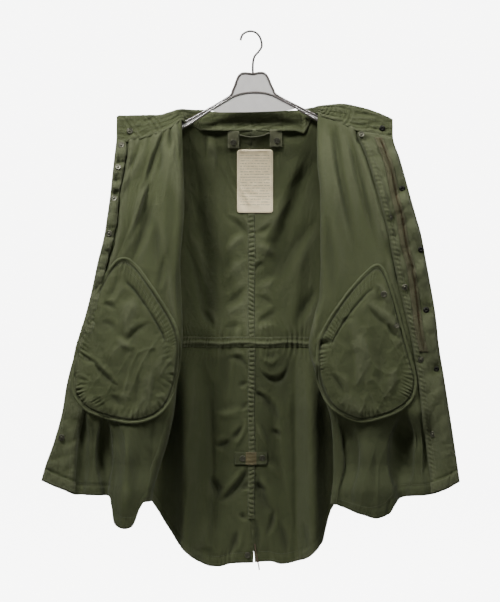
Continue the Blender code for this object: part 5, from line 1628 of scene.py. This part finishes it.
def cloth_spot(trees, x, drop, reach=4.5):
    """The point and facing of the cloth under a small disc, as seen by the viewer."""
    spots = []
    for dx, dz in ((0, 0), (reach, 0), (-reach, 0), (0, reach), (0, -reach)):
        met = [tree.ray_cast(Vector((x + dx, -400, -drop - dz)), Vector((0, 1, 0)))[0] for tree in trees]
        met = [spot for spot in met if spot]
        spots.append(min(met, key=lambda spot: spot.y) if met else None)
    middle = spots[0]
    left, right, low, high = (spot or middle for spot in (spots[2], spots[1], spots[3], spots[4]))
    facing = (right - left).cross(high - low)
    facing = facing.normalized() if facing.length > 0.1 else Vector((0, -1, 0))
    if facing.y > 0:
        facing = -facing
    return middle, (facing + Vector((0, -0.6, 0))).normalized()


def turned_disc(profile, middle, facing):
    disc = bmesh.new()
    corners = [disc.verts.new((radius, 0, height)) for radius, height in profile]
    edges = [disc.edges.new(pair) for pair in zip(corners, corners[1:])]
    bmesh.ops.spin(disc, geom=corners + edges, angle=2 * math.pi, steps=SNAP_SEGMENTS, axis=(0, 0, 1),
                   cent=(0, 0, 0), use_merge=True)
    bmesh.ops.remove_doubles(disc, verts=disc.verts, dist=0.001)
    rim = [edge for edge in disc.edges if edge.is_boundary]
    bmesh.ops.holes_fill(disc, edges=rim, sides=0)
    bmesh.ops.recalc_face_normals(disc, faces=disc.faces)
    bmesh.ops.transform(disc, verts=disc.verts, matrix=placement(middle, facing))
    return disc


def move_into(joined, part):
    """Adds a part's mesh to a joined one."""
    data = bpy.data.meshes.new("part")
    part.to_mesh(data)
    part.free()
    joined.from_mesh(data)
    bpy.data.meshes.remove(data)


collar_tree = surface_tree(collar_points)
bag_tree = surface_tree(bag_points["right"])
edge_trees = {side: [front_trees[side], placket_trees[side], collar_tree] for side in SIDES}
snap_trees = {
    "stud_left": edge_trees["left"], "stud_right": edge_trees["right"], "socket_right": edge_trees["right"],
    "snap_neck": [tab_trees["neck_tab_left"], tab_trees["neck_tab_right"]],
    "snap_tail": [tab_trees["tail_tab"]], "snap_hem": back_trees, "snap_bag": [bag_tree],
}
for group, spots in SNAPS.items():
    profile = SOCKET if group == "socket_right" else STUD if group.startswith("stud") else CAP
    joined = bmesh.new()
    for x, drop in spots:
        middle, facing = cloth_spot(snap_trees[group], x, drop)
        move_into(joined, turned_disc(profile, middle + facing * SNAP_LIFT, facing))
    nodes = [f"{group}_{number}" for number in range(1, len(spots) + 1)]
    dress(add_piece(f"{group}_discs", joined), black if profile is SOCKET else brass, "snap_brass", *nodes)


# The sewing. Each row of stitches is a line of short rounded threads that lie in the cloth: along the
# hems, the plackets, the zip, the collar's quilting, the bags, the casing, the seam, label and tabs.
STITCH, STITCH_STEP, STITCH_WIDTH, STITCH_RISE = 3.2, 4.4, 0.85, 0.85
# How far inside the edges the rows run, and how far off the middle of the seam and the zip
BAG_STITCH, FACING_STITCHES, FLAP_STITCH, CASING_STITCH = 12, (24, 29), 6, 2.5
SEAM_STITCH, ZIP_STITCH, LABEL_STITCH, TAB_STITCH = 5.8, 8, 3.5, 2.6


def spun(name, light, deep):
    """Cotton thread, uneven in its dye and a little shiny."""
    material, tree, shader, place = new_material(name)
    uneven = noise_of(tree, place["Object"], 380, 3)
    link(tree, mixed(tree, uneven, deep, light), shader.inputs["Base Color"])
    roughen(tree, shader, uneven, 0.25, 0.5)
    emboss(tree, shader, uneven, 0.0001)
    return material


def sewn(name, trees, rows, material, slot="shell_cotton", towards=1, **look):
    """Rows of stitches along lines of (x, drop), laid on the cloth that the trees hold."""
    joined = bmesh.new()
    for line in rows:
        line = np.array(line, float)
        run = np.insert(np.cumsum(np.hypot(*np.diff(line, axis=0).T)), 0, 0)
        starts = np.arange(STITCH_STEP / 2, run[-1] - STITCH_STEP, STITCH_STEP)
        x, drop = (np.interp([starts, starts + STITCH], run, line[:, k]) for k in (0, 1))
        depth = cloth_depth(trees, x, drop, towards=towards, **look) - STITCH_RISE * towards
        row = bmesh.new()
        for k in np.flatnonzero(~np.isnan(depth).any(0)):
            first, last = (Vector((x[end, k], depth[end, k], -drop[end, k])) for end in (0, 1))
            ahead = last - first
            if ahead.length > 2 * STITCH:
                continue
            size = (ahead.length / 2, STITCH_WIDTH / 2, STITCH_WIDTH / 2)
            place = placement((first + last) / 2, ahead, "X", "Z", size)
            bmesh.ops.create_icosphere(row, subdivisions=1, radius=1, matrix=place)
        move_into(joined, row)
    return dress(add_piece(name, joined), material, slot)


def line_at(first, last, place, step=6):
    """Points (x, drop) of place(along) from first to last."""
    return np.array([place(along) for along in np.arange(first, last, step)])


olive_thread = spun("olive_thread", (0.13, 0.14, 0.08), (0.06, 0.066, 0.032))
pale_thread = spun("pale_thread", (0.62, 0.54, 0.38), (0.42, 0.36, 0.24))
for side, sign in SIDES.items():
    placket_tree, bag_side_tree = placket_trees[side], surface_tree(bag_points[side])
    back_hem, front_hem, edges = BACK_HEMS[side], FRONT_HEMS[side], FRONTS[side]
    sewn(f"back_hem_stitches_{side}", back_trees,
         [line_at(6, 284, lambda out: (sign * out, back_hem.at("drop", out) - HEM_DEPTH))], olive_thread)
    sewn(f"front_hem_stitches_{side}", [front_trees[side], placket_tree],
         [line_at(front_hem.first + 4, front_hem.last - 4,
                  lambda out: (sign * out, front_hem.at("drop", out) - HEM_DEPTH - 2))], olive_thread)
    inner = PLACKET_INNER[side]
    sewn(f"placket_stitches_{side}", [placket_tree], [
        line_at(inner.first + 6, inner.last - 6, lambda drop: (sign * (table.at(column, drop) + shift), drop))
        for table, column, shift in ((inner, "out", 3), (inner, "out", 14), (edges, "edge", -8))
    ], olive_thread)
    bag_rows = [
        np.stack([sign * out, drop], 1)
        for out, drop in (bag_outline(side, np.linspace(first, last, 240), inset) for first, last, inset in (
            (0, 1, BAG_STITCH), *((*FACING_STRETCH[side], inset) for inset in FACING_STITCHES)))
    ]
    sewn(f"bag_stitches_{side}", [bag_side_tree], bag_rows, olive_thread)
    flap_row = np.stack(flap_outline(side, np.linspace(0.03, 0.97, 30), 1 - FLAP_STITCH / FLAP_WIDTH), 1)
    sewn(f"flap_stitches_{side}", [surface_tree(flap_points[side])], [flap_row], olive_thread,
         towards=-1, start=FLAP_FRONT)

FACING_SEAM = [(242, 222), (271, 287), (281, 374), (328, 503), (347, 604)]
sewn("facing_stitches", [front_trees["right"]], [smooth_line(FACING_SEAM, 80)], olive_thread)
sewn("zip_stitches", [surface_tree(zip_points)], [
    line_at(ZIP.first, ZIP.last, lambda drop: (ZIP.at("out", drop) + aside, drop + 3))
    for aside in (-ZIP_STITCH, ZIP_STITCH)
], olive_thread)
quilting = []
for height in (0.1, 0.35, 0.6, 0.88):
    x, _, z = collar_sheet(np.linspace(0.01, 0.99, 200), np.full(200, height))
    quilting.append(np.stack([x, -z], 1))
sewn("collar_stitches", [collar_tree], quilting, olive_thread)
sewn("seam_stitches", [seam_tree], [
    line_at(SEAM_TOP + 3, SLIT_TOP - 3, lambda drop: (aside + seam_sway(drop), drop))
    for aside in (-SEAM_STITCH, SEAM_STITCH)
], olive_thread)
sewn("casing_stitches", [surface_tree(casing_points)], [
    line_at(4 - CASING_REACH, CASING_REACH - 4, lambda x: (x, level + casing_sway(x)))
    for level in (CASING_TOP + CASING_STITCH, CASING_LOW - CASING_STITCH)
], olive_thread)


def bordered(patch, inset):
    """A closed row of stitches inside a patch's edge."""
    x0, x1 = patch.x - patch.half_width + inset, patch.x + patch.half_width - inset
    low, high = patch.low - inset, patch.top + inset
    return [(x0, high), (x1, high), (x1, low), (x0, low), (x0, high)]


sewn("label_stitches", [surface_tree(label_points)], [bordered(LABEL, LABEL_STITCH)],
     pale_thread, "label_cloth")
sewn("tab_stitches", list(tab_trees.values()),
     [bordered(patch, TAB_STITCH) for patch in (*NECK_TABS.values(), TAIL_TAB)],
     olive_thread, "binding_cotton")


# The hanger: one moulded plate of clear plastic with sloping arms, hung a little askew on a bent
# steel wire hook, which swivels in the top of the plate.
HANGER_TILT, HANGER_THICKNESS = math.radians(1.5), 6.6
ARM_BODY = [(29, 99), (46, 134), (62, 154), (155, 204), (201, 225.5)]
ARM_UNDER = [(199, 237), (152, 213), (101, 181), (70, 163), (37, 147)]
ARCH_TOP = (0, 142)
WEB_LOW = [(101, 181), (84, 186), (40, 187.5), (0, 188)]  # the thin web under the arch ends behind the collar
PLATE, RIM_REACH = 2.4, 2.94
WIRE = 5.2
HOOK_WIRE = [(-26, 19), (-24.5, 12), (-19, 3.5), (-6, -1.8), (8, 0.4), (18, 10), (22.8, 24), (22.5, 36),
             (15, 47), (6, 57), (2, 70), (0.8, 84), (0.8, 99)]


def flipped(line):
    """The line's mirror image, run backwards."""
    return [(-x, drop) for x, drop in line[::-1]]


askew = Matrix.Rotation(-HANGER_TILT, 4, "Y")
over = smooth_line([(0, 98.6), *ARM_BODY], 40)
under = smooth_line([*ARM_UNDER, ARCH_TOP, *flipped(ARM_UNDER)], 80)
outline = np.array([*over, *under, *flipped(over[1:])])
arm, web = ARM_UNDER[:2], smooth_line(WEB_LOW, 12)
web_outline = [*over, *arm, *web, *flipped(web[:-1]), *flipped(arm), *flipped(over[1:])]
plate = bmesh.new()
corners = [plate.verts.new((x * MM, PLATE / 2 * MM, -drop * MM)) for x, drop in web_outline]
front_face = plate.faces.new(corners)
grown = bmesh.ops.extrude_face_region(plate, geom=[front_face])
moved = [each for each in grown["geom"] if isinstance(each, bmesh.types.BMVert)]
bmesh.ops.translate(plate, verts=moved, vec=(0, -PLATE * MM, 0))
bmesh.ops.triangulate(plate, faces=plate.faces[:])
bmesh.ops.recalc_face_normals(plate, faces=plate.faces)
bmesh.ops.transform(plate, verts=plate.verts, matrix=askew)
hanger = add_piece("hanger_plate", plate)
hanger.data.shade_flat()

# A moulded rim stiffens the plate all round and carries its edges
ahead = np.roll(outline, -1, axis=0) - np.roll(outline, 1, axis=0)
ahead /= np.linalg.norm(ahead, axis=1, keepdims=True)


def rimmed(at, angle):
    x, drop = outline[at] + np.array((ahead[at][1], -ahead[at][0])) * RIM_REACH * math.cos(angle)
    return Vector((x, HANGER_THICKNESS / 2 * math.sin(angle), -drop))


rim = closed_tube(len(outline), 10, rimmed)
bmesh.ops.transform(rim, verts=rim.verts, matrix=askew)
hanger_rim = add_piece("hanger_rim", rim)


def moulded(name, light, dark, clear, rough):
    """Clear plastic with a little haze in it."""
    material, tree, shader, place = new_material(name)
    haze = noise_of(tree, place["Object"], 60, 4)
    link(tree, mixed(tree, haze, dark, light), shader.inputs["Base Color"])
    roughen(tree, shader, haze, 0.15, rough)
    shader.inputs["Transmission Weight"].default_value = clear
    shader.inputs["IOR"].default_value = 1.49
    shader.inputs["Coat Weight"].default_value = 0.4
    return material


milky = moulded("milky_plastic", (0.90, 0.88, 0.85), (0.74, 0.72, 0.69), 0.35, 0.25)
dress(hanger, milky, "hanger_plastic", "hanger_body")
clear = moulded("clear_rim", (0.20, 0.18, 0.17), (0.08, 0.07, 0.065), 0.2, 0.08)
dress(hanger_rim, clear, "hanger_plastic")

wire = smooth_line(HOOK_WIRE, 90)
hook = cord_curve("hanger_wire_hook", [askew @ (Vector((x, 0, -drop)) * MM) for x, drop in wire], WIRE * MM)
steel = metal("bright_steel", (0.13, 0.125, 0.12), 0.42, (0.28, 0.27, 0.26), scale=300)
dress(hook, steel, "hook_wire", "hanger_hook")
